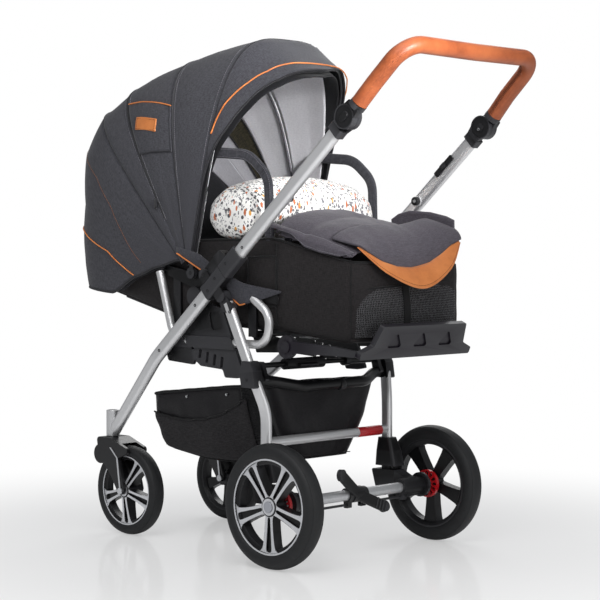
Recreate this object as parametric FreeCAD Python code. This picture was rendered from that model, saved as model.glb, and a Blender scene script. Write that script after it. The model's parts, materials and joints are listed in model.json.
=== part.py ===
import FreeCAD, Part
import math
import os

# A pram with a folding frame, in millimetres. X is across (left side +), Y runs to the handle, Z is up.
# Sizes below are written as seen from the rear axle (Y = 0 there); save() moves everything so that
# the origin lies on the ground under the middle of the whole pram.

V = FreeCAD.Vector
ALONG_X = V(1, 0, 0)
UP = V(0, 0, 1)
GROUND = V(0, 0, 0)

# --- driving sizes: stance and clearances ---
rear_axle_y = 222.3          # rear axle behind the middle of the pram
slack = 0.3                  # seat between neighbours that do not turn on each other
running = 0.05               # radial play of pins and bores
blade_gap = 0.6              # side play of forks and blades
bite = 1.0                   # how far pieces of one moulding are sunk into each other
cutter = 120.0               # reach of a trimming block past what it trims

# --- driving sizes: frame line (front leg and push tube in one line) ---
tube_x = 234.0               # middle of the left tube from the centre plane
frame_angle = 41.5           # slope of the frame line
split_y = -198.0             # where the frame line is split by the fold
split_z = 645.0
seam_t = 5.5                 # seam between the knuckle halves, along the line
seam_gap = 1.0
tube_depth = 33.0            # flat oval tube, seen from the side
tube_width = 20.0            # flat oval tube, seen from above
leg_bend = -303.0            # along the line: where the front leg turns inward
leg_bend_radius = 160.0
leg_foot_rise = 4.0          # end of the leg tube above the lower edge of its sleeve
knuckle_length = 71.0        # each half of the fold knuckle, along the line
knuckle_depth = 40.0
knuckle_width = 27.0
knuckle_corner = 7.0
tube_seat = 45.0             # how far a tube goes into its knuckle
fold_pin_t = -43.0           # fold pin along the line
fold_pin_n = 32.8            # fold pin above the line
fold_pin_radius = 5.0
fold_ear_radius = 14.0
fold_ear_thick = 6.5
fold_tongue_half = 12.2
tongue_root = 44.0           # where the tongue of the upper knuckle meets its sleeve
tongue_slope = 16.0          # where its back starts to fall
leg_pin_t = -38.2            # rear leg pin along the line
leg_pin_n = -35.6
leg_pin_radius = 4.0
leg_ear_radius = 14.0
leg_ear_thick = 5.0
leg_ear_bridge = 3.0         # bridge that joins the two ears under the knuckle

# --- driving sizes: push frame and handlebar ---
joint_t = 506.0              # handle joint along the line
joint_radius = 27.0
joint_inset = 13.5           # inner face of the joint from the middle of the tube
joint_fixed_thick = 12.0
joint_moving_thick = 15.0
joint_pin_radius = 6.0
joint_rim = 3.0              # raised ring round the face of the joint
joint_rim_height = 1.5
neck_length = 22.0
neck_socket = 8.0            # how far the tube enters the neck
neck_wall = 2.5
socket_length = 12.0
grip_start = 15.0            # start of the wrapped bar beyond the joint
grip_leg_t = 640.0           # last straight place of the handlebar legs
grip_top_t = 717.0           # crossbar of the handlebar
grip_rise = 8.0
grip_x = 226.0
grip_corner = 55.0
grip_radius = 18.5
button_length = 26.0
button_width = 14.0
button_depth = 5.0
button_stand = 3.5
button_play = 0.4
button_round = 1.5
latch_t = 369.0
latch_length = 66.0
latch_width = 13.0
latch_thick = 4.0
latch_finger = 18.0          # raised finger pad of the latch
latch_finger_height = 4.0
latch_round = 3.0
stud_t = 254.0
stud_radius = 9.0
stud_length = 11.0
stud_collar = 3.0

# --- driving sizes: casters and front wheels ---
caster_x = 169.0
caster_y = -658.0
caster_trail = 65.0
sleeve_radius = 16.0
sleeve_bottom = 238.5
sleeve_top = 302.0
sleeve_round = 2.0
stem_radius = 9.0
stem_end_gap = 3.0
front_wheel_radius = 109.0
front_tyre_width = 39.0
front_tyre_depth = 24.0
front_hub_radius = 19.0
fork_inside = 23.5           # half the gap between the fork arms
fork_arm = 9.0
fork_top = 237.0
fork_wheel_gap = 6.0
fork_nose = 34.0             # round nose of the crown ahead of the stem
fork_nose_radius = 24.0
fork_guard = 24.0            # crown reaches this far behind the axle, over the tyre
fork_guard_thick = 24.0
fork_arm_root = 40.0         # fore-and-aft width of an arm under the crown
fork_arm_tip = 26.0          # and at the axle
fork_round = 9.0
strut_width = 5.0            # bright strip along the back edge of each arm
strut_height = 1.6
front_bolt_radius = 5.0
front_nut_radius = 8.0
front_nut_height = 4.0

# --- driving sizes: rear wheels and axle ---
rear_wheel_x = 275.0
rear_wheel_radius = 138.4
rear_tyre_width = 47.0
rear_tyre_depth = 32.8       # rubber outside the rim
rear_hub_radius = 24.0
rear_hub_half = 16.5
spoke_count = 5
front_spoke_root = 17.0      # width of a double spoke at the hub
front_spoke_tip = 33.0       # and at the ring
rear_spoke_root = 22.0
rear_spoke_tip = 42.0
spoke_edge = 4.2             # bright edge on either side of a spoke
spoke_groove = 5.0           # depth of the channel between the edges
hub_cap_radius = 12.5
hub_cap_height = 2.0
tyre_groove = 1.2            # depth of the groove round each shoulder
tyre_groove_width = 2.4
axle_radius = 12.4
stub_radius = 6.0
axle_tube_x = 156.0          # where the axle tube enters its housing
axle_tube_seat = 20.0
axle_stub_seat = 15.0        # end of the stub beyond the middle of the wheel, under the hub cap
housing_end_x = 224.0
housing_lead = 6.0
housing_radius = 20.0
flange_thick = 8.0
flange_rim = 7.0             # flange beyond the circle of the brake rod
disc_x = 250.0
disc_thick = 8.0
disc_radius = 33.0
disc_rim = 1.5               # raised outer rim of the brake disc
disc_slot_circle = 22.0
disc_slot_inner = 16.5
disc_slot_outer = 26.0
disc_slot_inner_radius = 2.4
disc_slot_outer_radius = 4.2
disc_slots = 12
brake_rod_radius = 3.0
rod_lug_half = 6.5           # lugs that guide the brake rods
rod_lug_drop = 7.0           # lug below the middle of the rod
pedal_x = 8.0
pedal_hub_radius = 18.5
pedal_hub_length = 34.0
pedal_collar = 14.0
pedal_collar_step = 2.0
pedal_thick = 11.0
pedal_width = 27.0
pedal_root_y = 10.0
release_x = 72.0             # tip of the smooth release arm, from the middle of the hub
release_y = 24.0
release_rise = 51.6
tread_x = -60.0              # tip of the ribbed brake tread
tread_y = 36.0
tread_rise = -30.4
tread_ribs = 4
tread_rib = 3.0
tread_rib_pitch = 8.0

# --- driving sizes: rear frame ---
rear_leg_depth = 28.0
rear_leg_width = 18.0
rear_leg_x = 228.0
rear_leg_low_x = 208.0
rear_leg_low_y = -88.0
rear_leg_knee = 76.0         # knee below the clamp
rear_leg_bend = 150.0
clamp_z = 410.0
clamp_y = -113.0
clamp_half = 22.0
clamp_wall = 4.0
cup_bottom = 180.0
cup_waist = 216.0
cup_top = 247.0
cup_seat = 30.0              # leg tube inside its cup
cup_ahead = 22.0             # cup ahead of the leg at its foot
cup_behind = 41.0
cup_half = 22.0
cup_waist_half = 20.0
cup_waist_behind = 32.0
cup_top_half = 15.0
cup_top_ahead = 18.0
cup_top_behind = 19.0
suspension_travel = 8.0
block_top = 171.0
block_inner = 20.0
block_outer = 15.0
block_front_y = -120.0
block_step_y = -48.0
block_back_y = -22.0
block_low_y = -108.0
block_drop = 9.0
post_radius = 13.0
post_length = 32.0
cross_z = 266.0
cross_radius = 11.0
rear_bar_radius = 13.0
rear_bar_y = -72.0
rear_bar_z = 388.0
rear_bar_corner = 90.0
rear_bar_run = 110.0         # straight middle part starts this far inside the leg
rear_bar_shoulder = 40.0
lock_y = -119.0
lock_z = 437.0
lock_rod_radius = 6.0
lug_thick = 11.0             # lugs on the rear bar that carry the lock rod
lug_wall = 9.0
lock_grip_radius = 13.0
lock_grip_start = -10.0
lock_grip_end = 118.0
lock_collar_x = -84.0
lock_collar_width = 16.0
lock_sleeve_wall = 4.0
lock_tab_start = 24.0
lock_tab_end = 84.0
lock_tab_reach = 24.0
lock_tab_half = 6.0

# --- driving sizes: side plates and seat carriers ---
plate_inner_x = 203.0
plate_thick = 9.0
plate_ridge = 4.5            # ridge that houses the seat carrier
plate_reach = 188.5          # from the rear leg pin, where the rear bar swings past
plate_corner = 7.0
plate_top_t = -104.0         # upper and lower ends of the plate, along the frame line
plate_low_t = -288.0
plate_lap = 2.0              # plate past the middle of the tube
plate_back = 22.0            # upper back corner from the rear leg pin
plate_drop = 30.0
plate_heel = 40.0            # lower back corner ahead of the clamp
plate_toe = 104.0
plate_toe_rise = 14.0
plate_sole = 4.0
swing_start = -50.0          # the rear bar swings past between these angles about the leg pin
swing_end = -127.0
boss_radius = 11.0
boss_inset = 10.0
slot_count = 6
slot_width = 9.0
slot_height = 26.0
slot_pitch = 24.0
slot_start = 62.0
slot_drop = 7.0              # top of the first slot below the carrier
slot_step = 5.0
slot_lean = 4.0
slot_web = 9.0               # web between a slot and the edge that the rear bar swings past
slot_round = 2.5
recess_depth = 3.0
recess_inset = 20.0
recess_low = 46.0
recess_front = 34.0
recess_round = 9.0
carrier_x = 205.0
carrier_radius = 9.7
carrier_low_z = 485.0
carrier_bend = 42.0
carrier_front = 107.0        # front end ahead of the hood pin
carrier_front_rise = 3.0
carrier_knee = 66.0
carrier_knee_drop = 130.0
carrier_low_front = 42.0
carrier_low_back = 249.0
carrier_back_knee = 258.0
carrier_back_knee_rise = 68.0
carrier_back = 205.0
carrier_back_rise = 104.0

# --- driving sizes: seat unit ---
rail_inner_x = 190.5
rail_thick = 4.5
rail_height = 18.0
rail_end = 16.0
rail_sag = 18.0
rail_round = 5.0
rail_pad = 15.0              # half length of the pads that rest on the carriers
hood_pin_y = -337.0
hood_pin_z = 644.0
hood_pin_radius = 5.0
hood_lug_radius = 16.0
adapter_radius = 23.0
adapter_drop = 54.0
adapter_back = 14.0
hanger_half = 12.0
hanger_front = 60.0          # front hanger and tie ahead of the hood pin
hanger_back = 190.0          # back hanger and tie behind it
hanger_thick = 7.0
hanger_rise = 16.0
lower_bar_rise = 24.0
lower_bar_drop = 20.0
foot_pin_y = -42.0
foot_pin_z = 482.0
foot_pin_radius = 6.0
foot_knob_radius = 26.0
foot_knob_face = 3.0         # raised face of the knob
foot_arm_x = 187.0
foot_arm_thick = 12.0
foot_arm_half = 14.0
foot_hinge_thick = 10.0
foot_plate_y = 171.0
foot_plate_z = 476.0
foot_plate_height = 78.0
foot_plate_thick = 13.0
foot_plate_slope = 66.0      # lean of the end plate from level
foot_plate_low = 14.0        # lower edge of the plate below and ahead of its middle
foot_plate_foot = 16.0
foot_plate_waist = 30.0
foot_plate_inset = 32.0      # upper part of the plate inside the arms
foot_plate_taper = 12.0
foot_step = 71.0             # where an arm bends down to the plate
foot_recess_depth = 4.0
foot_recess_pitch = 88.0
foot_recess_half = 26.0
foot_recess_height = 36.0
foot_rib_height = 3.0
pan_half = 165.0
pan_thick = 8.0
pan_head_inset = 30.0
pan_foot_drop = 134.0
tie_radius = 8.0

# --- driving sizes: soft parts ---
bag_half = 184.0
bag_foot_y = 145.0
bag_wall = 10.0
bag_floor = 18.0
bag_corner = 12.0
bag_head_y = -640.0
bag_head_drop = 46.0         # underside below the hood pin: head, back, seat, foot
bag_back_drop = 103.0
bag_back = 77.0
bag_seat_drop = 122.0
bag_seat = 216.0
bag_foot_drop = 147.0
bag_toe_drop = 134.0
bag_toe_floor_drop = 110.0
bag_head_rise = 40.0         # rim above the hood pin: head, back, apron, foot
bag_back_rise = 76.0
bag_mid_rise = 82.0
bag_foot_rise = 28.0
bag_open_rise = 140.0
apron_start_y = -89.0
apron_crown = 797.0
apron_mid = 777.0
apron_knee = 753.0
apron_foot = 705.0
apron_mid_y = 300.0          # behind the hood pin
apron_knee_y = 400.0
apron_over = 2.0
apron_thick = 12.0
apron_shoulder = 0.7         # share of the height where the side turns into the top
pillow_back = 112.0          # behind the hood pin
pillow_depth = 98.0
pillow_height = 68.0
pillow_end_depth = 66.0
pillow_end_height = 47.0
pillow_lift = 30.0
pillow_skew = 24.0
handle_strap_x = 178.0
handle_strap_width = 26.0
handle_strap_thick = 12.0
handle_back = 231.0          # back foot of the strap behind the hood pin
handle_front = 50.0
handle_rise = 272.0
handle_back_rise = 196.0
handle_front_rise = 220.0
handle_top_back = 140.0
handle_top_front = 40.0
handle_bend = 60.0
hood_half = 213.5
hood_cloth = 5.0
hood_start = 30.0
bow_thick = 5.0
bow_width = 12.0
bow_gap = 1.2
bow_foot_radius = 13.0
panel_gap = 0.3              # between the cloth of neighbouring panels, in degrees
brim_angle = 66.0
front_bow_angle = 77.5
middle_bow_angle = 100.6
zip_angle = 121.7
rear_bow_angle = 133.0
head_angle = 198.0
brim_height = 540.0
front_bow_height = 556.0
middle_bow_height = 523.0
zip_height = 518.0
rear_bow_height = 543.0
head_height = 402.0
panel_bulge = 4.0
hem_rise = 40.0              # hem of the hood above the hood pin at its front end
hem_low = 50.0
hem_low_back = 270.0
basket_half = 186.0
basket_cloth = 4.0
basket_corner = 10.0
basket_front_y = -500.0
basket_front_z = 352.0
basket_middle_y = -312.0
basket_middle_z = 374.0
basket_back_y = -157.0
basket_back_z = 388.0
basket_floor = 214.0
basket_slope_z = 304.0
basket_front_lean = 22.0
basket_belly = 60.0
basket_bar_gap = 2.0


# ------------------------------------------------------------------ small helpers
def slope(angle):
    """Unit vector in the side plane, angle measured from +Y towards +Z."""
    turn = math.radians(angle)
    return V(0, math.cos(turn), math.sin(turn))


LINE = slope(frame_angle)
LINE_UP = slope(frame_angle + 90)


def on_line(t, n=0.0, x=0.0):
    """Place t up the frame line from its split and n above it, at X = x."""
    return V(x, split_y, split_z) + LINE * t + LINE_UP * n


def unit(vector):
    return V(vector).normalize()


def bent_path(points, radius, closed=False):
    """Straight runs joined by tangent arcs of one radius."""
    count = len(points)
    corners = []
    for index, point in enumerate(points):
        if not closed and index in (0, count - 1):
            corners.append((point, None, point))
            continue
        back = points[index - 1] - point
        ahead = points[(index + 1) % count] - point
        turn = math.pi - back.getAngle(ahead)
        if turn < 0.01 or radius <= 0:
            corners.append((point, None, point))
            continue
        reach = min(radius * math.tan(turn / 2), 0.48 * min(back.Length, ahead.Length))
        bend = reach / math.tan(turn / 2)
        inward = unit(unit(back) + unit(ahead))
        middle = point + inward * (bend / math.cos(turn / 2) - bend)
        corners.append((point + unit(back) * reach, middle, point + unit(ahead) * reach))
    edges = []
    for index in range(count):
        start, middle, end = corners[index]
        if middle is not None:
            edges.append(Part.Arc(start, middle, end).toShape())
        if index < count - 1 or closed:
            following = corners[(index + 1) % count][0]
            if (following - end).Length > 1e-6:
                edges.append(Part.LineSegment(end, following).toShape())
    return Part.Wire(edges)


def round_tube(points, radius, bend):
    """Solid round tube along a bent path."""
    path = bent_path(points, bend)
    start = Part.Wire([Part.makeCircle(radius, points[0], points[1] - points[0])])
    return path.makePipeShell([start], True, False)


def oval(centre, long_way, short_way, length, width):
    """Flat oval outline: two straight sides and two half-round ends."""
    half = (length - width) / 2
    radius = width / 2
    corner_a = centre + long_way * half + short_way * radius
    corner_b = centre - long_way * half + short_way * radius
    corner_c = centre - long_way * half - short_way * radius
    corner_d = centre + long_way * half - short_way * radius
    low = centre - long_way * (half + radius)
    high = centre + long_way * (half + radius)
    return Part.Wire([
        Part.LineSegment(corner_a, corner_b).toShape(),
        Part.Arc(corner_b, low, corner_c).toShape(),
        Part.LineSegment(corner_c, corner_d).toShape(),
        Part.Arc(corner_d, high, corner_a).toShape(),
    ])


def oval_tube(points, long_way, short_way, length, width, bend):
    path = bent_path(points, bend)
    return path.makePipeShell([oval(points[0], long_way, short_way, length, width)], True, False)


def slab(points, x_start, x_end, corner=0.0):
    """Closed side-view outline of (y, z) places, rounded at its corners, drawn out across."""
    places = [V(x_start, y, z) for y, z in points]
    face = Part.Face(bent_path(places, corner, closed=True))
    return face.extrude(V(x_end - x_start, 0, 0))


def line_slab(points, x_start, x_end, corner=0.0):
    """Like slab, with the outline given along and above the frame line."""
    return slab([(on_line(t, n).y, on_line(t, n).z) for t, n in points], x_start, x_end, corner)


def cross_disc(place, radius, x_start, x_end):
    return Part.makeCylinder(radius, x_end - x_start, V(x_start, place.y, place.z), ALONG_X)


def bar_section(start, end, side, width, up, height, corner):
    """Rounded rectangular bar from start to end."""
    reach_side = side * (width / 2)
    reach_up = up * (height / 2)
    ring = [
        start + reach_side + reach_up,
        start - reach_side + reach_up,
        start - reach_side - reach_up,
        start + reach_side - reach_up,
    ]
    return Part.Face(bent_path(ring, corner, closed=True)).extrude(end - start)


def box_between(x_span, y_span, z_span):
    return Part.makeBox(
        x_span[1] - x_span[0], y_span[1] - y_span[0], z_span[1] - z_span[0],
        V(x_span[0], y_span[0], z_span[0]))


def joined(*shapes):
    whole = shapes[0].multiFuse(list(shapes[1:])) if len(shapes) > 1 else shapes[0]
    return whole.removeSplitter()


def flipped(shape):
    """The same piece on the right side."""
    return shape.mirror(GROUND, ALONG_X)


def save(name, shape):
    placed = shape.copy()
    placed.translate(V(0, rear_axle_y, 0))
    placed.exportStep("parts/" + name + ".step")


def save_pair(name, shape):
    save(name + "_left", shape)
    save(name + "_right", flipped(shape))


def save_both(name, shape):
    save(name, Part.makeCompound([shape, flipped(shape)]))


# ------------------------------------------------------------------ front frame
FOLD_PIN = on_line(fold_pin_t, fold_pin_n)
LEG_PIN = on_line(leg_pin_t, leg_pin_n)


def caster_sleeve():
    sleeve = Part.makeCylinder(sleeve_radius, sleeve_top - sleeve_bottom, V(caster_x, caster_y, sleeve_bottom), UP)
    return sleeve.makeFillet(sleeve_round, [sleeve.Edges[0]])


def front_leg():
    """Flat oval tube: straight under the knuckle, then turned inward to the upright caster sleeve."""
    top = on_line(-knuckle_length + tube_seat, 0, tube_x)
    bend = on_line(leg_bend, 0, tube_x)
    foot = V(caster_x, caster_y, sleeve_bottom + leg_foot_rise)
    tube = oval_tube([top, bend, foot], LINE_UP, ALONG_X, tube_depth, tube_width, leg_bend_radius)
    sleeve = caster_sleeve()
    across = (caster_x - cutter / 2, caster_x + cutter / 2)
    below = box_between(across, (caster_y - cutter, caster_y + cutter), (sleeve_bottom - cutter, sleeve_bottom))
    beyond = box_between(across, (caster_y - cutter, caster_y), (sleeve_bottom - cutter, sleeve_top + cutter))
    bore = Part.makeCylinder(
        stem_radius + running, sleeve_top - sleeve_bottom + cutter,
        V(caster_x, caster_y, sleeve_bottom - cutter / 2), UP)
    return joined(tube.cut(beyond), sleeve).cut(below).cut(bore)


def lower_knuckle(leg):
    """Lower half of the fold knuckle, with the fold pin above it and the rear leg pin below it."""
    half = knuckle_width / 2
    deep = knuckle_depth / 2
    body = bar_section(
        on_line(-knuckle_length, 0, tube_x), on_line(seam_t - seam_gap / 2, 0, tube_x),
        ALONG_X, knuckle_width, LINE_UP, knuckle_depth, knuckle_corner)
    outer = (tube_x + half - fold_ear_thick, tube_x + half)
    inner = (tube_x - half, tube_x - half + fold_ear_thick)
    ears = []
    for x_start, x_end in (outer, inner):
        foot = line_slab([
            (fold_pin_t - fold_ear_radius, deep - 4 * bite), (fold_pin_t + fold_ear_radius, deep - 4 * bite),
            (fold_pin_t + fold_ear_radius, fold_pin_n), (fold_pin_t - fold_ear_radius, fold_pin_n),
        ], x_start, x_end)
        ears.append(foot)
        ears.append(cross_disc(FOLD_PIN, fold_ear_radius, x_start, x_end))
    pin = cross_disc(FOLD_PIN, fold_pin_radius, tube_x - half, tube_x + half)
    leg_half = rear_leg_width / 2 + blade_gap
    leg_outer = (rear_leg_x + leg_half, rear_leg_x + leg_half + leg_ear_thick)
    leg_inner = (rear_leg_x - leg_half - leg_ear_thick, rear_leg_x - leg_half)
    lugs = [bar_section(
        on_line(leg_pin_t - leg_ear_radius, -deep + bite / 2, rear_leg_x),
        on_line(leg_pin_t + leg_ear_radius, -deep + bite / 2, rear_leg_x),
        ALONG_X, 2 * (leg_half + leg_ear_thick), LINE_UP, leg_ear_bridge, 0.0)]
    for x_start, x_end in (leg_outer, leg_inner):
        lugs.append(line_slab([
            (leg_pin_t - leg_ear_radius, -deep), (leg_pin_t + leg_ear_radius, -deep),
            (leg_pin_t + leg_ear_radius, leg_pin_n), (leg_pin_t - leg_ear_radius, leg_pin_n),
        ], x_start, x_end))
        lugs.append(cross_disc(LEG_PIN, leg_ear_radius, x_start, x_end))
    leg_pin = cross_disc(LEG_PIN, leg_pin_radius, leg_inner[0], leg_outer[1])
    return joined(body, pin, leg_pin, *ears, *lugs).cut(leg)


def beyond_swing(x_start, x_end):
    """Room that the rear bar sweeps as the rear frame folds: a sector about the rear leg pin."""
    ends = [(LEG_PIN.y, LEG_PIN.z)]
    for angle in (swing_start, (swing_start + swing_end) / 2, swing_end):
        end = LEG_PIN + slope(angle) * (3 * plate_reach)
        ends.append((end.y, end.z))
    sector = slab(ends, x_start, x_end)
    return sector.cut(cross_disc(LEG_PIN, plate_reach, x_start - bite, x_end + bite))


def swing_edge(y):
    """Height of the edge that the rear bar swings past, at this y."""
    return LEG_PIN.z - math.sqrt(max(0.0, plate_reach ** 2 - (y - LEG_PIN.y) ** 2))


def side_plate(carrier, knuckle):
    """Moulded plate between the front leg and the rear leg: slots below, a D-shaped recess above."""
    outer_x = plate_inner_x + plate_thick
    upper = on_line(plate_top_t, plate_lap)
    lower = on_line(plate_low_t, -2 * plate_lap)
    back_top = LEG_PIN + V(0, -plate_back, -plate_drop)
    outline = [
        (upper.y, upper.z), (back_top.y, back_top.z), (clamp_y - plate_heel, clamp_z - plate_sole),
        (clamp_y - plate_toe, clamp_z - plate_sole), (clamp_y - plate_toe - plate_corner, clamp_z + plate_toe_rise),
        (lower.y + plate_sole, lower.z - plate_toe_rise), (lower.y - plate_lap, lower.z),
    ]
    band_half = carrier_radius + plate_ridge
    band = box_between(
        (outer_x - bite, outer_x + plate_ridge), (clamp_y - 4 * cutter, clamp_y),
        (carrier_low_z - band_half, carrier_low_z + band_half))
    ridge = slab(outline, outer_x - bite, outer_x + plate_ridge, plate_corner).common(band)
    plate = joined(slab(outline, plate_inner_x, outer_x, plate_corner), ridge)
    plate = plate.cut(beyond_swing(plate_inner_x - bite, outer_x + plate_ridge + bite))
    bosses = []
    for t in (plate_top_t - boss_inset, plate_low_t + boss_inset):
        bosses.append(cross_disc(on_line(t), boss_radius, outer_x - bite, tube_x - tube_width / 2))
    slots = []
    for index in range(slot_count):
        y = lower.y + slot_start + index * slot_pitch
        top = carrier_low_z - slot_drop - index * slot_step
        low = max(top - slot_height, swing_edge(y - slot_width) + slot_web)
        slots.append(slab([
            (y - slot_width / 2, low), (y + slot_width / 2, low),
            (y + slot_width / 2 + slot_lean, top), (y - slot_width / 2 + slot_lean, top),
        ], plate_inner_x - bite, outer_x + plate_ridge + bite, slot_round))
    recess = slab([
        (upper.y + plate_corner, upper.z - recess_inset), (back_top.y - recess_inset / 2, back_top.z - recess_inset / 2),
        (back_top.y + plate_lap, back_top.z - recess_low), (back_top.y - recess_front, back_top.z - recess_low - plate_sole),
    ], outer_x - recess_depth, outer_x + bite, recess_round)
    return joined(plate, *bosses).cut(Part.makeCompound(slots)).cut(recess).cut(carrier).cut(knuckle)


def seat_carrier():
    """Bright round tube bent like a rocker, both ends turned up to the seat rail."""
    points = [
        V(carrier_x, hood_pin_y - carrier_front, hood_pin_z + carrier_front_rise),
        V(carrier_x, hood_pin_y - carrier_knee, hood_pin_z - carrier_knee_drop),
        V(carrier_x, hood_pin_y - carrier_low_front, carrier_low_z),
        V(carrier_x, hood_pin_y + carrier_low_back, carrier_low_z),
        V(carrier_x, hood_pin_y + carrier_back_knee, carrier_low_z + carrier_back_knee_rise),
        V(carrier_x, hood_pin_y + carrier_back, carrier_low_z + carrier_back_rise),
    ]
    return round_tube(points, carrier_radius, carrier_bend)


# ------------------------------------------------------------------ push frame
def push_tube():
    start = on_line(seam_t + seam_gap / 2 + knuckle_length - tube_seat, 0, tube_x)
    end = on_line(joint_t - joint_radius - neck_length + neck_socket, 0, tube_x)
    tube = Part.Face(oval(start, LINE_UP, ALONG_X, tube_depth, tube_width)).extrude(end - start)
    stud_foot = on_line(stud_t)
    inner = tube_x - tube_width / 2
    stud = cross_disc(stud_foot, stud_radius, inner - stud_length, inner + 2 * bite)
    collar = cross_disc(stud_foot, stud_radius + stud_collar, inner - stud_collar, inner + 2 * bite)
    return joined(tube, stud, collar)


def upper_knuckle(tube):
    """Upper half of the fold knuckle: a sleeve on the push tube with a tongue over to the fold pin."""
    half = knuckle_width / 2
    body = bar_section(
        on_line(seam_t + seam_gap / 2, 0, tube_x), on_line(knuckle_length, 0, tube_x),
        ALONG_X, knuckle_width, LINE_UP, knuckle_depth, knuckle_corner)
    tongue_half = half - fold_ear_thick - blade_gap
    low = fold_pin_n - fold_tongue_half
    high = fold_pin_n + fold_tongue_half
    start = seam_t + seam_gap / 2
    deep = knuckle_depth / 2
    tongue = line_slab([
        (fold_pin_t, low), (start, low), (start, deep - 6 * bite), (tongue_root, deep - 6 * bite),
        (tongue_root, deep + 4 * bite), (tongue_slope, high), (fold_pin_t, high),
    ], tube_x - tongue_half, tube_x + tongue_half)
    eye = cross_disc(FOLD_PIN, fold_tongue_half, tube_x - tongue_half, tube_x + tongue_half)
    shoulder = line_slab([
        (start + bite, deep - 6 * bite), (tongue_root - 2 * bite, deep - 6 * bite),
        (tongue_root - 10 * bite, high - 4 * bite), (start + bite, high - bite),
    ], tube_x - half + 2 * bite, tube_x + half - 2 * bite, 3 * bite)
    bore = cross_disc(FOLD_PIN, fold_pin_radius + running, tube_x - half - bite, tube_x + half + bite)
    return joined(body, tongue, eye, shoulder).cut(bore).cut(tube)


JOINT = on_line(joint_t)
FIXED_X = (tube_x - joint_inset, tube_x - joint_inset + joint_fixed_thick)
MOVING_X = (FIXED_X[1] + blade_gap, FIXED_X[1] + blade_gap + joint_moving_thick)


def handle_joint(tube):
    """Fixed half of the handle joint: a neck on the push tube and a round cheek with the pin."""
    neck_start = joint_t - joint_radius - neck_length
    neck = bar_section(
        on_line(neck_start, 0, tube_x), on_line(joint_t - joint_radius - 2 * bite, 0, tube_x),
        ALONG_X, tube_width + 2 * neck_wall, LINE_UP, tube_depth + 2 * neck_wall, 2 * neck_wall)
    bridge = line_slab([
        (joint_t - joint_radius - 6 * bite, -tube_depth / 2), (joint_t, -joint_radius + 2 * bite),
        (joint_t, joint_radius - 2 * bite), (joint_t - joint_radius - 6 * bite, tube_depth / 2),
    ], FIXED_X[0], FIXED_X[1])
    cheek = cross_disc(JOINT, joint_radius, FIXED_X[0], FIXED_X[1])
    dish = cross_disc(JOINT, joint_radius - joint_rim, FIXED_X[0] - bite, FIXED_X[0] + joint_rim_height)
    hub = cross_disc(JOINT, joint_radius / 3, FIXED_X[0], FIXED_X[0] + joint_rim_height + bite)
    pin = cross_disc(JOINT, joint_pin_radius, FIXED_X[1] - bite, MOVING_X[1] - button_depth - 4 * bite)
    body = joined(neck, bridge, cheek, pin).cut(dish)
    return joined(body, hub).cut(tube)


def button_outline(grow, x_start, x_end):
    centre = V(x_start, JOINT.y, JOINT.z)
    wire = oval(centre, LINE, LINE_UP, button_length + 2 * grow, button_width + 2 * grow)
    return Part.Face(wire).extrude(V(x_end - x_start, 0, 0))


def handle_hub():
    """Moving half of the handle joint: an outer cheek with the button pocket and the bar socket."""
    outer = MOVING_X[1]
    cheek = cross_disc(JOINT, joint_radius, MOVING_X[0], outer)
    arm_t = joint_t + joint_radius + 8 * bite
    arm = line_slab([
        (joint_t, -joint_radius + joint_rim), (arm_t, bite - grip_radius),
        (arm_t, grip_radius - bite), (joint_t, joint_radius - joint_rim),
    ], MOVING_X[0], outer, 2 * bite)
    rim = cross_disc(JOINT, joint_radius, outer - bite, outer + joint_rim_height)
    rim = rim.cut(cross_disc(JOINT, joint_radius - joint_rim, outer - 2 * bite, outer + 2 * joint_rim_height))
    socket = Part.makeCylinder(
        grip_radius + bite / 2, socket_length, on_line(joint_t + joint_radius + joint_rim, 0, tube_x), LINE)
    pocket = button_outline(button_play, outer - button_depth, outer + 2 * joint_rim_height)
    bore = cross_disc(JOINT, joint_pin_radius + running, MOVING_X[0] - bite, outer - button_depth - 3.9 * bite)
    return joined(cheek, arm, rim, socket).cut(pocket).cut(bore)


def handle_button():
    back = MOVING_X[1] - button_depth + button_stand
    button = button_outline(0.0, back, MOVING_X[1] + button_stand)
    return button.makeFillet(button_round, [edge for edge in button.Edges if edge.BoundBox.XMin > MOVING_X[1] + bite])


def handle_grip():
    """Wrapped handlebar: two legs in line with the tubes, round corners and a crossbar."""
    foot_t = joint_t + joint_radius + grip_start
    low_rise = grip_rise * 0.6
    points = [
        on_line(foot_t, 0, tube_x), on_line(grip_leg_t - 2 * grip_radius, low_rise, (tube_x + grip_x) / 2),
        on_line(grip_top_t, grip_rise, grip_x), on_line(grip_top_t, low_rise, 0),
    ]
    points += [V(-point.x, point.y, point.z) for point in reversed(points[:3])]
    return round_tube(points, grip_radius, grip_corner)


def fold_latch():
    """Slider on the inner face of the push tube that frees the fold."""
    x_face = tube_x - tube_width / 2 - slack
    half = latch_length / 2
    plate = line_slab([
        (latch_t - half, 0), (latch_t + half, 0), (latch_t + half, latch_width), (latch_t - half, latch_width),
    ], x_face - latch_thick, x_face, latch_round)
    low = latch_t - latch_finger / 2
    high = latch_t + latch_finger / 2
    finger = line_slab([
        (low, bite), (high, bite), (high, latch_width - bite), (low, latch_width - bite),
    ], x_face - latch_thick - latch_finger_height, x_face - latch_thick + bite, latch_round)
    return joined(plate, finger)


# ------------------------------------------------------------------ casters and wheels
FRONT_AXLE = V(caster_x, caster_y + caster_trail, front_wheel_radius)


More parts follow.
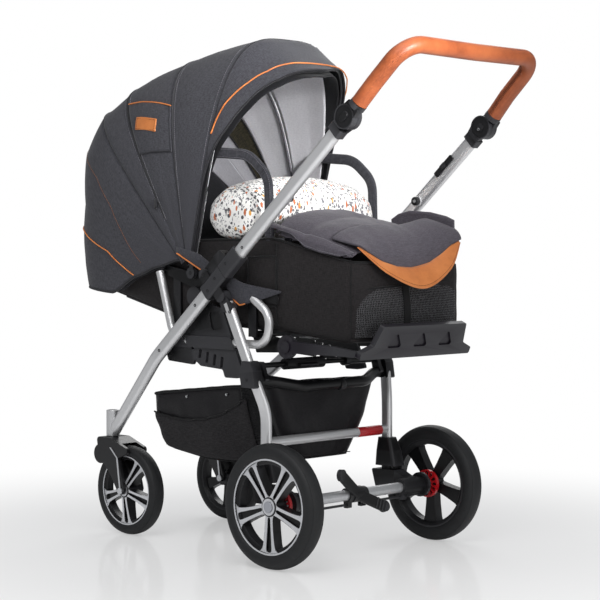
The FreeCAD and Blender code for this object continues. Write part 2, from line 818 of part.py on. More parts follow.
def caster_fork():
    """Swivel fork: stem, round-nosed crown over the tyre, two arms with a bright strip, and the wheel bolt."""
    half = fork_inside + fork_arm
    axle_y = FRONT_AXLE.y
    axle_z = FRONT_AXLE.z
    nose = V(0, caster_y - fork_nose + fork_nose_radius, fork_top - fork_nose_radius - 2 * fork_round)
    crown = slab([
        (caster_y - fork_nose_radius, fork_top), (caster_y + fork_nose_radius, fork_top),
        (axle_y + fork_guard, fork_top - fork_guard_thick), (axle_y + fork_guard, fork_top - 1.5 * fork_guard_thick),
        (axle_y - fork_round, fork_top - 2 * fork_guard_thick),
        (caster_y - fork_nose / 2, nose.z - fork_nose_radius), (caster_y - fork_nose / 2, nose.z),
    ], caster_x - half, caster_x + half, fork_round)
    lobe = cross_disc(nose, fork_nose_radius, caster_x - half, caster_x + half)
    arm = slab([
        (caster_y - fork_round, fork_top - fork_guard_thick), (caster_y - fork_round + fork_arm_root, fork_top - fork_guard_thick),
        (axle_y - fork_round, axle_z + 2 * fork_arm_root), (axle_y + fork_arm_tip / 2, axle_z),
        (axle_y, axle_z - fork_arm_tip / 2), (axle_y - fork_arm_tip / 2, axle_z),
        (axle_y - fork_arm_root, axle_z + fork_arm_root), (caster_y - fork_round, nose.z - fork_nose_radius / 2),
    ], caster_x - half, caster_x + half, fork_round)
    strut = slab([
        (caster_y + fork_arm_root - fork_round - strut_width, fork_top - fork_guard_thick),
        (caster_y + fork_arm_root - fork_round, fork_top - fork_guard_thick),
        (axle_y - fork_round, axle_z + 2 * fork_arm_root), (axle_y + strut_width / 2, axle_z),
        (axle_y - strut_width / 2, axle_z), (axle_y - fork_round - strut_width, axle_z + 2 * fork_arm_root),
    ], caster_x - half - strut_height, caster_x + half + strut_height)
    reach = front_wheel_radius + fork_wheel_gap
    tyre_space = cross_disc(FRONT_AXLE, reach, caster_x - fork_inside, caster_x + fork_inside)
    stem = Part.makeCylinder(
        stem_radius, sleeve_top - fork_top - stem_end_gap, V(caster_x, caster_y, fork_top - bite), UP)
    washer = Part.makeCylinder(
        sleeve_radius, sleeve_bottom - slack - fork_top + bite, V(caster_x, caster_y, fork_top - bite), UP)
    bolt = cross_disc(FRONT_AXLE, front_bolt_radius, caster_x - half, caster_x + half)
    nuts = [
        cross_disc(FRONT_AXLE, front_nut_radius, caster_x + half - bite, caster_x + half + front_nut_height),
        cross_disc(FRONT_AXLE, front_nut_radius, caster_x - half - front_nut_height, caster_x - half + bite),
    ]
    return joined(joined(crown, lobe, arm, strut).cut(tyre_space), stem, washer, bolt, *nuts)


def tyre(radius, inner, width):
    """Tyre with a rounded crown, bulging walls and a groove round each shoulder."""
    half = width / 2
    depth = radius - inner
    seat = V(-half * 0.8, 0, inner)
    wall = V(-half, 0, inner + depth * 0.45)
    shoulder = V(-half * 0.72, 0, radius - depth * 0.13)
    crown = V(0, 0, radius)
    other = [V(-point.x, 0, point.z) for point in (shoulder, wall, seat)]
    profile = Part.Wire([
        Part.Arc(seat, wall, shoulder).toShape(),
        Part.Arc(shoulder, crown, other[0]).toShape(),
        Part.Arc(other[0], other[1], other[2]).toShape(),
        Part.LineSegment(other[2], seat).toShape(),
    ])
    whole = Part.Face(profile).revolve(GROUND, ALONG_X, 360)
    for sign in (1, -1):
        edge = V(sign * shoulder.x, 0, shoulder.z)
        side = V(sign * tyre_groove_width / 2, 0, 0)
        lift = V(0, 0, tyre_groove)
        notch = Part.makePolygon([edge - lift, edge + side + lift, edge - side + lift, edge - lift])
        whole = whole.cut(Part.Face(notch).revolve(GROUND, ALONG_X, 360))
    return whole


def spoke(angle, stations, back_x):
    """Double spoke: one blade with a channel between two raised edges, wider towards the ring."""
    radial = slope(angle)
    tangent = slope(angle + 90)
    sections = []
    for radius, face, width in stations:
        half = width / 2
        deep = face - spoke_groove
        inner = half - spoke_edge
        places = [
            (-half, back_x), (half, back_x), (half, face), (inner, face), (inner - bite, deep),
            (bite - inner, deep), (-inner, face), (-half, face),
        ]
        ring = [radial * radius + tangent * side + V(x, 0, 0) for side, x in places]
        sections.append(Part.makePolygon(ring + [ring[0]]))
    return Part.makeLoft(sections, True, True)


def wheel_rim(ring_radius, tyre_width, hub_radius, hub_half, bore, spoke_root, spoke_tip):
    """Rim with five double spokes: stepped ring, hub barrel, cap and channelled blades."""
    half = tyre_width * 0.4
    lip = ring_radius * 0.035
    deep = ring_radius * 0.12
    ring_profile = [
        V(-half, 0, ring_radius), V(half, 0, ring_radius), V(half, 0, ring_radius - lip),
        V(half - lip, 0, ring_radius - lip), V(half - 2 * lip, 0, ring_radius - deep),
        V(2 * lip - half, 0, ring_radius - deep), V(-half, 0, ring_radius - lip),
    ]
    ring = Part.Face(Part.makePolygon(ring_profile + [ring_profile[0]])).revolve(GROUND, ALONG_X, 360)
    hub = Part.makeCylinder(hub_radius, 2 * hub_half, V(-hub_half, 0, 0), ALONG_X)
    hub = hub.makeChamfer(hub_radius * 0.15, [edge for edge in hub.Edges if edge.BoundBox.XMin > hub_half - bite])
    start = hub_radius * 0.8
    end = ring_radius - deep + 2 * bite
    waist = start + (end - start) * 0.45
    flare = start + (end - start) * 0.82
    hub_face = hub_half - 2 * bite
    ring_face = half - lip
    stations = (
        (start, hub_face, spoke_root),
        (waist, hub_face + (ring_face - hub_face) * 0.45, spoke_root + (spoke_tip - spoke_root) * 0.25),
        (flare, hub_face + (ring_face - hub_face) * 0.82, spoke_root + (spoke_tip - spoke_root) * 0.6),
        (end, ring_face, spoke_tip),
    )
    blades = [spoke(-90 + index * 360.0 / spoke_count, stations, -half * 0.5) for index in range(spoke_count)]
    hole = Part.makeCylinder(bore, 4 * hub_half, V(-2 * hub_half, 0, 0), ALONG_X)
    return joined(ring, hub, *blades).cut(hole)


# ------------------------------------------------------------------ rear frame
REAR_AXLE = V(0, 0, rear_wheel_radius)


def rear_leg():
    """Flat oval tube: slanted under the knuckle, then turned inward and upright above the axle."""
    top = V(rear_leg_x, LEG_PIN.y + leg_ear_radius - bite, LEG_PIN.z - leg_ear_radius - 2 * bite)
    waist = V(rear_leg_x, clamp_y + 2 * bite, clamp_z + 6 * bite)
    knee = V(rear_leg_low_x, rear_leg_low_y, clamp_z - rear_leg_knee)
    foot = V(rear_leg_low_x, rear_leg_low_y, cup_top - cup_seat)
    along = unit(waist - top)
    across = unit(along.cross(ALONG_X))
    return oval_tube([top, waist, knee, foot], across, ALONG_X, rear_leg_depth, rear_leg_width, rear_leg_bend)


def rear_leg_bracket(leg):
    """Black end piece that carries the rear leg on its pin."""
    half = rear_leg_width / 2
    eye_radius = leg_ear_radius - bite
    eye = cross_disc(LEG_PIN, eye_radius, rear_leg_x - half, rear_leg_x + half)
    deep = rear_leg_depth
    arm = slab([
        (LEG_PIN.y - 8 * bite, LEG_PIN.z - 9 * bite), (LEG_PIN.y + 6 * bite, LEG_PIN.z + 11 * bite),
        (LEG_PIN.y + deep + 6 * bite, LEG_PIN.z - deep + 6 * bite), (LEG_PIN.y + deep + 2 * bite, LEG_PIN.z - 1.5 * deep),
        (LEG_PIN.y + 3 * bite, LEG_PIN.z - deep - 6 * bite),
    ], rear_leg_x - half, rear_leg_x + half, 3 * bite)
    bore = cross_disc(LEG_PIN, leg_pin_radius + running, rear_leg_x - half - bite, rear_leg_x + half + bite)
    return joined(eye, arm).cut(leg).cut(bore)


def rear_bar(leg):
    """Curved black bar behind the basket: a clamp round each rear leg and a lug for the lock rod."""
    half_x = rear_leg_x - rear_leg_width / 2
    points = [
        V(half_x - clamp_wall, clamp_y - 2 * bite, clamp_z - clamp_wall),
        V(half_x - rear_bar_shoulder, clamp_y + 6 * bite, clamp_z - 2 * clamp_wall),
        V(half_x - rear_bar_run, rear_bar_y, rear_bar_z), V(0, rear_bar_y, rear_bar_z),
    ]
    points += [V(-point.x, point.y, point.z) for point in reversed(points[:3])]
    bar = round_tube(points, rear_bar_radius, rear_bar_corner)
    lug_top = lock_z + lug_wall
    clamp = slab([
        (clamp_y - clamp_half, clamp_z - clamp_half + 2 * bite), (clamp_y + clamp_half, clamp_z - clamp_half),
        (clamp_y + clamp_half - 6 * bite, clamp_z + clamp_half - 5 * bite), (clamp_y + clamp_wall, lug_top + 3 * bite),
        (clamp_y - clamp_half + 2 * bite, lug_top + 3 * bite), (clamp_y - clamp_half - 6 * bite, clamp_z + clamp_half / 2),
    ], plate_inner_x + plate_thick + blade_gap, rear_leg_x + rear_leg_width / 2 + clamp_wall, clamp_wall)
    clamp = clamp.cut(leg)
    lug_end = plate_inner_x - blade_gap
    lug = slab([
        (lock_y - lug_wall - bite, lug_top), (lock_y + lug_wall, lug_top), (clamp_y + clamp_half - 3 * bite, clamp_z - 6 * bite),
        (clamp_y - 3 * bite, clamp_z - 12 * bite),
    ], lug_end - lug_thick, lug_end, clamp_wall)
    lock_bore = cross_disc(V(0, lock_y, lock_z), lock_rod_radius + running, lug_end - 2 * lug_thick, lug_end + bite)
    lug = lug.cut(lock_bore)
    return joined(bar.cut(leg).cut(flipped(leg)), clamp, flipped(clamp), lug, flipped(lug))


def rear_crossbar(leg):
    bar = cross_disc(V(0, rear_leg_low_y, cross_z), cross_radius, -rear_leg_low_x, rear_leg_low_x)
    return bar.cut(leg).cut(flipped(leg))


def suspension_cup(leg):
    """Black foot of the rear leg that takes the spring post, wider towards the axle block."""
    x = rear_leg_low_x
    y = rear_leg_low_y

    def ring(half, ahead, behind, z):
        return [V(x - half, y - ahead, z), V(x + half, y - ahead, z), V(x + half, y + behind, z), V(x - half, y + behind, z)]

    corner = 8 * bite
    base = bent_path(ring(cup_half, cup_ahead, cup_behind, cup_bottom), corner, True)
    waist = bent_path(ring(cup_waist_half, cup_ahead - 2 * bite, cup_waist_behind, cup_waist), corner - bite, True)
    top = bent_path(ring(cup_top_half, cup_top_ahead, cup_top_behind, cup_top), corner - 2 * bite, True)
    body = joined(Part.makeLoft([base, waist], True, True), Part.makeLoft([waist, top], True, True))
    post_bore = Part.makeCylinder(post_radius + running, post_length + bite, V(x, y, cup_bottom - bite), UP)
    return body.cut(leg).cut(post_bore)


def fold_lock():
    """Cross rod with the turning grip that frees the frame fold."""
    end_x = plate_inner_x - blade_gap
    place = V(0, lock_y, lock_z)
    rod = cross_disc(place, lock_rod_radius, -end_x, end_x)
    grip = cross_disc(place, lock_grip_radius, lock_grip_start, lock_grip_end)
    collar = cross_disc(place, lock_grip_radius, lock_collar_x - lock_collar_width, lock_collar_x)
    sleeve = cross_disc(
        place, lock_rod_radius + lock_sleeve_wall, lug_thick + blade_gap - end_x + slack, lock_collar_x - lock_collar_width)
    tab = slab([
        (lock_y - 2 * bite, lock_z - lock_tab_half), (lock_y + lock_tab_reach - 4 * bite, lock_z - lock_tab_half),
        (lock_y + lock_tab_reach, lock_z - 2 * bite), (lock_y - 2 * bite, lock_z + lock_tab_half),
    ], lock_tab_start, lock_tab_end, 1.5 * bite)
    return joined(rod, grip, collar, sleeve, tab)


# ------------------------------------------------------------------ rear axle and brake
def axle_block():
    """Trailing block under the cup: spring post on top, axle housing and its clamp round the brake rod behind."""
    x = rear_leg_low_x
    block = slab([
        (block_front_y, block_top), (block_step_y, block_top), (block_back_y, REAR_AXLE.z + housing_radius),
        (0, REAR_AXLE.z + housing_radius), (0, REAR_AXLE.z - housing_radius),
        (block_step_y - 4 * bite, REAR_AXLE.z - block_drop), (block_low_y, REAR_AXLE.z - block_drop),
    ], x - block_inner, x + block_outer, 4 * bite)
    housing_start = axle_tube_x - housing_lead
    housing = cross_disc(REAR_AXLE, housing_radius, housing_start, housing_end_x)
    flange = cross_disc(REAR_AXLE, disc_slot_circle + flange_rim, housing_end_x, housing_end_x + flange_thick)
    rod_z = REAR_AXLE.z - disc_slot_circle
    clamp = slab([
        (-housing_radius / 2, REAR_AXLE.z), (housing_radius / 2, REAR_AXLE.z),
        (housing_radius / 2, rod_z - flange_rim), (-housing_radius / 2, rod_z - flange_rim),
    ], housing_start, housing_start + 2 * flange_thick, 2 * bite)
    post = Part.makeCylinder(
        post_radius, post_length + cup_bottom - block_top - suspension_travel,
        V(x, rear_leg_low_y, block_top - bite), UP)
    tube_bore = cross_disc(REAR_AXLE, axle_radius, housing_start - bite, axle_tube_x + axle_tube_seat)
    stub_bore = cross_disc(REAR_AXLE, stub_radius, axle_tube_x, rear_wheel_x)
    rod_bore = cross_disc(
        V(0, 0, rod_z), brake_rod_radius + running, housing_start - bite, housing_end_x + 2 * flange_thick)
    return joined(block, housing, flange, clamp, post).cut(tube_bore).cut(stub_bore).cut(rod_bore)


def axle_tube():
    """Tube between the housings with the wheel stubs, and the clamps beside the pedal that guide the rods."""
    reach = axle_tube_x + axle_tube_seat
    tube = cross_disc(REAR_AXLE, axle_radius, -reach, reach)
    end_x = rear_wheel_x + axle_stub_seat
    stub = cross_disc(REAR_AXLE, stub_radius, -end_x, end_x)
    rod_z = REAR_AXLE.z - disc_slot_circle
    stop = pedal_hub_length / 2 + slack
    collars = []
    for x_start in (pedal_x + stop, pedal_x - stop - pedal_collar):
        collars.append(cross_disc(REAR_AXLE, pedal_hub_radius - pedal_collar_step, x_start, x_start + pedal_collar))
        collars.append(slab([
            (-rod_lug_half, REAR_AXLE.z), (rod_lug_half, REAR_AXLE.z),
            (rod_lug_half, rod_z - rod_lug_drop), (-rod_lug_half, rod_z - rod_lug_drop),
        ], x_start, x_start + pedal_collar, 2 * bite))
    bore = cross_disc(V(0, 0, rod_z), brake_rod_radius + running, -axle_tube_x, axle_tube_x)
    return joined(tube, stub, joined(*collars).cut(bore))


def brake_pedal():
    """Rocking pedal on the axle: a smooth release arm and a brake tread with ribs."""
    x_start = pedal_x - pedal_hub_length / 2
    hub = cross_disc(REAR_AXLE, pedal_hub_radius, x_start, x_start + pedal_hub_length)
    bore = cross_disc(REAR_AXLE, axle_radius + running, x_start - bite, x_start + pedal_hub_length + bite)
    root = V(pedal_x, pedal_root_y, REAR_AXLE.z)
    pieces = []
    for tip_x, tip_y, tip_rise, ribs in (
            (release_x, release_y, release_rise, 0), (tread_x, tread_y, tread_rise, tread_ribs)):
        tip = V(pedal_x + tip_x, tip_y, REAR_AXLE.z + tip_rise)
        along = unit(tip - root)
        wide = unit(along.cross(V(0, 1, 0.2)))
        out = unit(wide.cross(along))
        if out.y < 0:
            out = out * -1
        pieces.append(bar_section(root, tip, out, pedal_thick, wide, pedal_width, 4 * bite))
        pieces.append(Part.makeCylinder(pedal_width / 2, pedal_thick, tip - out * (pedal_thick / 2), out))
        for index in range(ribs):
            place = tip + along * (tread_rib - index * tread_rib_pitch) + out * (pedal_thick / 2)
            reach = wide * (pedal_width / 2 - bite)
            pieces.append(bar_section(
                place - reach, place + reach, along, tread_rib, out, tread_rib, bite))
    treads = joined(*pieces)
    reach = pedal_hub_length / 2 + pedal_collar + cutter / 2
    barrel = cross_disc(REAR_AXLE, pedal_hub_radius - pedal_collar_step + blade_gap, pedal_x - reach, pedal_x + reach)
    return joined(hub, treads.cut(barrel)).cut(bore)


def brake_disc():
    """Wheel-side disc with a fan of tapered slots that the brake rod locks into."""
    disc = Part.makeCylinder(disc_radius, disc_thick, V(disc_x, 0, 0), ALONG_X)
    dish = Part.makeCylinder(disc_radius - 3 * disc_rim, disc_rim, V(disc_x, 0, 0), ALONG_X)
    disc = disc.cut(dish)
    slots = []
    for index in range(disc_slots):
        direction = slope(-90 + index * 360.0 / disc_slots)
        across = ALONG_X.cross(direction)
        inner = direction * disc_slot_inner + V(disc_x - bite, 0, 0)
        outer = direction * disc_slot_outer + V(disc_x - bite, 0, 0)
        side_in = across * disc_slot_inner_radius
        side_out = across * disc_slot_outer_radius
        outline = Part.Wire([
            Part.LineSegment(inner + side_in, outer + side_out).toShape(),
            Part.Arc(outer + side_out, outer + direction * disc_slot_outer_radius, outer - side_out).toShape(),
            Part.LineSegment(outer - side_out, inner - side_in).toShape(),
            Part.Arc(inner - side_in, inner - direction * disc_slot_inner_radius, inner + side_in).toShape(),
        ])
        slots.append(Part.Face(outline).extrude(V(disc_thick + 2 * bite, 0, 0)))
    bore = Part.makeCylinder(stub_radius + running, disc_thick + 2 * bite, V(disc_x - bite, 0, 0), ALONG_X)
    disc = disc.cut(Part.makeCompound(slots)).cut(bore)
    disc.translate(REAR_AXLE)
    return disc


def brake_rod(sign):
    """Rod below the axle, guided by the lug beside the pedal, that slides outward into the brake disc."""
    start_x = pedal_x + sign * (pedal_hub_length / 2 + pedal_collar / 2)
    end_x = sign * (disc_x + disc_rim - blade_gap)
    place = REAR_AXLE - UP * disc_slot_circle
    return cross_disc(place, brake_rod_radius, min(start_x, end_x), max(start_x, end_x))


# ------------------------------------------------------------------ seat unit
HOOD_PIN = V(0, hood_pin_y, hood_pin_z)
FRONT_BOW_HALF = hood_half - hood_cloth - bow_gap
MIDDLE_BOW_HALF = FRONT_BOW_HALF - bow_thick - blade_gap
FOOT_PIN = V(0, foot_pin_y, foot_pin_z)


def seat_side():
    """Side of the seat frame: upper rail with hood pin and adapter, hangers and the lower hinge bar."""
    x_start = rail_inner_x
    x_end = rail_inner_x + rail_thick
    front_y = hood_pin_y - carrier_front
    back_y = hood_pin_y + carrier_back
    back_z = carrier_low_z + carrier_back_rise + carrier_radius + 6 * bite
    front_low = hood_pin_z + carrier_front_rise
    front_z = front_low + 11 * bite
    half = rail_height / 2
    rail = slab([
        (front_y - rail_end, front_z - half), (front_y - rail_end, front_z + half),
        (hood_pin_y, hood_pin_z), (back_y + rail_end, back_z + half),
        (back_y + rail_end, back_z - half), (hood_pin_y, hood_pin_z - rail_height - rail_sag),
    ], x_start, x_end, rail_round)
    lug = cross_disc(HOOD_PIN, hood_lug_radius, x_start, MIDDLE_BOW_HALF - bow_thick - slack)
    pin = cross_disc(HOOD_PIN, hood_pin_radius, x_start, FRONT_BOW_HALF)
    adapter = cross_disc(
        V(0, hood_pin_y + adapter_back, hood_pin_z - adapter_drop), adapter_radius, x_start, carrier_x + 5 * bite)
    pads = [
        box_between((x_start, carrier_x + bite), (front_y - rail_pad, front_y + rail_pad - 3 * bite),
                    (front_low + slack + 3 * bite, front_z + 6 * bite)),
        box_between((x_start, carrier_x + bite), (back_y - rail_pad + bite, back_y + rail_pad + bite),
                    (back_z - bite / 2, back_z + half)),
    ]
    hangers = []
    for y, top in ((hood_pin_y - hanger_front, hood_pin_z - 4 * bite), (hood_pin_y + hanger_back, back_z)):
        hangers.append(box_between(
            (x_end - bite - hanger_thick - bite / 2, x_end - bite - bite / 2), (y - hanger_half, y + hanger_half),
            (carrier_low_z + hanger_rise, top)))
    bar_x = (foot_arm_x - foot_arm_thick / 2 - blade_gap - foot_hinge_thick + blade_gap, foot_arm_x - foot_arm_thick / 2 - blade_gap)
    lower = slab([
        (hood_pin_y + hanger_back - hanger_half, carrier_low_z + lower_bar_rise),
        (hood_pin_y + hanger_back + hanger_half, carrier_low_z + lower_bar_rise),
        (foot_pin_y, foot_pin_z + foot_arm_half - bite), (foot_pin_y, foot_pin_z - foot_arm_half + bite),
        (hood_pin_y + hanger_back, carrier_low_z - lower_bar_drop),
    ], bar_x[0], bar_x[1], 4 * bite)
    foot_eye = cross_disc(FOOT_PIN, foot_knob_radius - 8 * bite, bar_x[0], bar_x[1])
    foot_pin = cross_disc(FOOT_PIN, foot_pin_radius, bar_x[0], foot_arm_x + foot_arm_thick / 2)
    return joined(rail, lug, pin, adapter, lower, foot_eye, foot_pin, *pads, *hangers)


def bag_base():
    """Underside of the bag in side view, head to foot."""
    return [
        (bag_head_y, hood_pin_z - bag_head_drop), (hood_pin_y - bag_back, hood_pin_z - bag_back_drop),
        (hood_pin_y + bag_seat, hood_pin_z - bag_seat_drop), (bag_foot_y - bag_corner - 2 * bite, hood_pin_z - bag_foot_drop),
    ]


def bag_rim():
    """Upper edge of the bag in side view, head to foot."""
    return [
        (bag_head_y - 6 * bite, hood_pin_z + bag_head_rise), (hood_pin_y - hanger_front, hood_pin_z + bag_back_rise),
        (apron_start_y, hood_pin_z + bag_mid_rise), (bag_foot_y + 3 * bite, hood_pin_z + bag_foot_rise),
    ]


def height_at(edge, y):
    """Height of a side-view edge, given head to foot, at this y."""
    for (low, low_z), (high, high_z) in zip(edge, edge[1:]):
        if low <= y <= high:
            return low_z + (high_z - low_z) * (y - low) / (high - low)
    return edge[-1][1]


def seat_frame():
    side = seat_side()
    reach = rail_inner_x - bite
    ties = []
    for y in (hood_pin_y - hanger_front, hood_pin_y + hanger_back):
        z = height_at(bag_base(), y) - 2 * slack - pan_thick - tie_radius
        ties.append(cross_disc(V(0, y, z), tie_radius, -reach, reach))
    return joined(side, flipped(side), *ties)


def seat_pan():
    """Thin moulded pan under the bag, seat and back in one."""
    upper = [(y, z - slack) for y, z in bag_base()]
    upper[0] = (bag_head_y + pan_head_inset, upper[0][1] - pan_thick)
    upper[-1] = (foot_pin_y - bag_wall, hood_pin_z - pan_foot_drop)
    lower = [(y, z - pan_thick) for y, z in reversed(upper)]
    return slab(upper + lower, -pan_half, pan_half)


def footrest():
    """Hinged foot support: two arms with round knobs and an end plate with three triangular recesses and ribs."""
    x_in = foot_arm_x - foot_arm_thick / 2
    x_out = foot_arm_x + foot_arm_thick / 2
    arms = []
    for x_start, x_end, face in ((x_in, x_out, x_out), (-x_out, -x_in, -x_out - foot_knob_face)):
        arms.append(cross_disc(FOOT_PIN, foot_knob_radius, x_start, x_end))
        arms.append(cross_disc(FOOT_PIN, foot_knob_radius / 2, face, face + foot_knob_face))
        arms.append(slab([
            (foot_pin_y, foot_pin_z + foot_arm_half), (foot_plate_y - foot_step, foot_plate_z + foot_arm_half - 2 * bite),
            (foot_plate_y - 6 * bite, foot_plate_z + 4 * bite), (foot_plate_y - 6 * bite, foot_plate_z - 10 * bite),
            (foot_plate_y - foot_step, foot_plate_z - foot_arm_half + 6 * bite), (foot_pin_y, foot_pin_z - foot_arm_half),
        ], x_start, x_end, 4 * bite))
    lean = slope(foot_plate_slope)
    face = slope(foot_plate_slope - 90)
    corner = V(0, foot_plate_y, foot_plate_z) - slope(45) * foot_plate_low
    top_half = foot_arm_x - foot_plate_inset
    half = foot_arm_x + foot_arm_thick / 4
    sides = (
        (half, 0), (half, foot_plate_foot), (top_half, foot_plate_waist),
        (top_half - foot_plate_taper, foot_plate_height),
    )
    ring = [corner + ALONG_X * x + lean * rise for x, rise in sides]
    ring += [corner - ALONG_X * x + lean * rise for x, rise in reversed(sides)]
    plate = Part.Face(bent_path(ring, 5 * bite, True)).extrude(face * foot_plate_thick)
    recesses = []
    for step in (-1, 0, 1):
        base = corner + V(step * foot_recess_pitch, 0, 0) + face * (foot_plate_thick - foot_recess_depth)
        low = lean * (foot_plate_waist - 4 * bite)
        tri = [base + V(-foot_recess_half, 0, 0) + low, base + V(foot_recess_half, 0, 0) + low,
               base + low + lean * foot_recess_height]
        recesses.append(Part.Face(bent_path(tri, 5 * bite, True)).extrude(face * (2 * foot_recess_depth)))
    ribs = []
    for step in (-1.5, -0.5, 0.5, 1.5):
        start = corner + V(step * foot_recess_pitch, 0, 0) - face * (foot_rib_height / 2 - bite)
        ribs.append(bar_section(
            start + lean * foot_plate_foot, start + lean * (foot_plate_height - foot_plate_taper),
            ALONG_X, foot_rib_height, face, foot_rib_height + 2 * bite, 0.0))
    bore = cross_disc(FOOT_PIN, foot_pin_radius + running, -x_out - bite, x_out + bite)
    return joined(plate.cut(Part.makeCompound(recesses)), *ribs, *arms).cut(bore)


# ------------------------------------------------------------------ soft parts
def carry_bag():
    """Open soft box with a raised foot end, its floor and walls of one padding."""
    base = bag_base()
    foot = [(bag_foot_y, hood_pin_z - bag_toe_drop)]
    outer = slab(base + foot + bag_rim()[::-1], -bag_half, bag_half, bag_corner)
    wall = bag_wall
    floor = [(y, z + bag_floor) for y, z in base]
    floor[0] = (base[0][0] + wall, floor[0][1])
    floor[-1] = (base[-1][0], floor[-1][1])
    top = hood_pin_z + bag_open_rise
    inner = slab(
        floor + [(bag_foot_y - wall, hood_pin_z - bag_toe_floor_drop), (bag_foot_y - wall, top), (bag_head_y + wall, top)],
        wall - bag_half, bag_half - wall, bag_corner - 4 * bite)
    return outer.cut(inner)


def apron():
    """Padded cover over the foot end: a dome on the rim of the bag."""
    sections = []
    stations = (
        (apron_start_y, apron_crown), (hood_pin_y + apron_mid_y, apron_mid),
        (hood_pin_y + apron_knee_y, apron_knee), (bag_foot_y + 3 * bite, apron_foot),
    )
    for y, top in stations:
        half = bag_half + apron_over
        foot = height_at(bag_rim(), y) + slack
        shoulder = foot + (top - foot) * apron_shoulder
        near = top - apron_thick * 0.4
        outer = [V(-half, y, foot), V(-half * 0.9, y, shoulder), V(-half * 0.5, y, near), V(0, y, top),
                 V(half * 0.5, y, near), V(half * 0.9, y, shoulder), V(half, y, foot)]
        narrow = (half - apron_thick) / half
        inner = [V(point.x * narrow, y, point.z - apron_thick) for point in reversed(outer[1:-1])]
        inner = [V(half * narrow, y, foot)] + inner + [V(-half * narrow, y, foot)]
        ring = Part.BSplineCurve()
        ring.interpolate(outer)
        under = Part.BSplineCurve()
        under.interpolate(inner)
        sections.append(Part.Wire([
            ring.toShape(), Part.LineSegment(outer[-1], inner[0]).toShape(),
            under.toShape(), Part.LineSegment(inner[-1], outer[0]).toShape(),
        ]))
    return Part.makeLoft(sections, True, False)


def pillow():
    """Soft bolster across the bag under the hood opening, fullest in the middle."""
    sections = []
    rest_y = hood_pin_y + pillow_back
    rim_z = height_at(bag_rim(), rest_y) + 2 * slack
    for share in (-1.0, -0.6, 0.0, 0.6, 1.0):
        full = 1 - share * share
        half_y = pillow_end_depth + (pillow_depth - pillow_end_depth) * full ** 0.5
        half_z = pillow_end_height + (pillow_height - pillow_end_height) * full ** 0.5
        centre = V(share * (bag_half - bite), rest_y - share * pillow_skew, rim_z + half_z + pillow_lift * full)
        ring = Part.Ellipse(centre, half_y, half_z)
        ring.Axis = ALONG_X
        sections.append(Part.Wire([ring.toShape()]))
    return Part.makeLoft(sections, True, False)


def carry_handle():
    """Padded strap loop standing on the rim of the bag."""
    x = handle_strap_x
    foot_z = height_at(bag_rim(), hood_pin_y + handle_back) + slack
    points = [
        V(x, hood_pin_y + handle_back, foot_z), V(x, hood_pin_y + handle_back - 6 * bite, hood_pin_z + handle_back_rise),
        V(x, hood_pin_y + handle_top_back, hood_pin_z + handle_rise - 10 * bite),
        V(x, hood_pin_y + handle_top_front, hood_pin_z + handle_rise),
        V(x, hood_pin_y - handle_front + 10 * bite, hood_pin_z + handle_front_rise),
        V(x, hood_pin_y - handle_front, foot_z),
    ]
    profile = oval(points[0], V(0, 1, 0), ALONG_X, handle_strap_width, handle_strap_thick)
    return bent_path(points, handle_bend).makePipeShell([profile], True, False)


def arch(angle, half, radius, power, cloth):
    """Closed section of the hood in the half-plane at this angle about the hood pin: a squarish arch."""
    direction = slope(angle)

    def curve(half_width, height):
        start = math.atan2(hood_start / height, 1.0)
        places = []
        steps = 12
        for index in range(steps + 1):
            turn = start + (math.pi - 2 * start) * index / steps
            side = half_width * math.cos(turn)
            rise = height * math.sin(turn)
            grow = (abs(side / half_width) ** power + abs(rise / height) ** power) ** (-1.0 / power)
            places.append(HOOD_PIN + V(side * grow, 0, 0) + direction * (rise * grow))
        spline = Part.BSplineCurve()
        spline.interpolate(places)
        return spline, places

    outer, outer_places = curve(half, radius)
    inner, inner_places = curve(half - cloth, radius - cloth)
    return Part.Wire([
        outer.toShape(), Part.LineSegment(outer_places[-1], inner_places[-1]).toShape(),
        inner.toShape(), Part.LineSegment(inner_places[0], outer_places[0]).toShape(),
    ])


def hood_radius(angle):
    """Crown of the hood above its pin, in straight steps from one bow to the next."""
    stations = (
        (brim_angle, brim_height), (front_bow_angle, front_bow_height),
        (middle_bow_angle, middle_bow_height), (zip_angle, zip_height),
        (rear_bow_angle, rear_bow_height), (head_angle, head_height),
    )
    for (low, low_height), (high, high_height) in zip(stations, stations[1:]):
        if angle <= high:
            return low_height + (high_height - low_height) * (angle - low) / (high - low)
    return head_height


def hood_power(angle):
    return 3.0 + 3.0 * min(1.0, max(0.0, (angle - 60.0) / 100.0))


def hood_panel(angles, bulge):
    """Cloth between bows, a little fuller between its edges."""
    sections = []
    last = len(angles) - 1
    for index, angle in enumerate(angles):
        full = bulge if 0 < index < last else 0.0
        sections.append(arch(angle, hood_half, hood_radius(angle) + full, hood_power(angle), hood_cloth))
    return Part.makeLoft(sections, True, False)


def hood_rear():
    angles = [rear_bow_angle + step * (head_angle - rear_bow_angle) / 4 for step in range(5)]
    shell = hood_panel(angles, panel_bulge)
    ahead = hood_pin_y - carrier_front
    hem = slab([
        (hood_pin_y + 1.5 * hem_rise, hood_pin_z + hem_rise), (hood_pin_y - hem_rise / 2, hood_pin_z + 0.85 * hem_rise),
        (ahead, hood_pin_z + 0.35 * hem_rise), ((ahead + hood_pin_y - hem_low_back) / 2, hood_pin_z - 0.16 * hem_low),
        (hood_pin_y - hem_low_back, hood_pin_z - hem_low), (hood_pin_y - head_height - cutter, hood_pin_z - 0.6 * hem_low),
        (hood_pin_y - head_height - cutter, hood_pin_z - head_height), (hood_pin_y + 1.5 * hem_rise, hood_pin_z - head_height),
    ], -hood_half - 10 * bite, hood_half + 10 * bite)
    return shell.cut(hem)


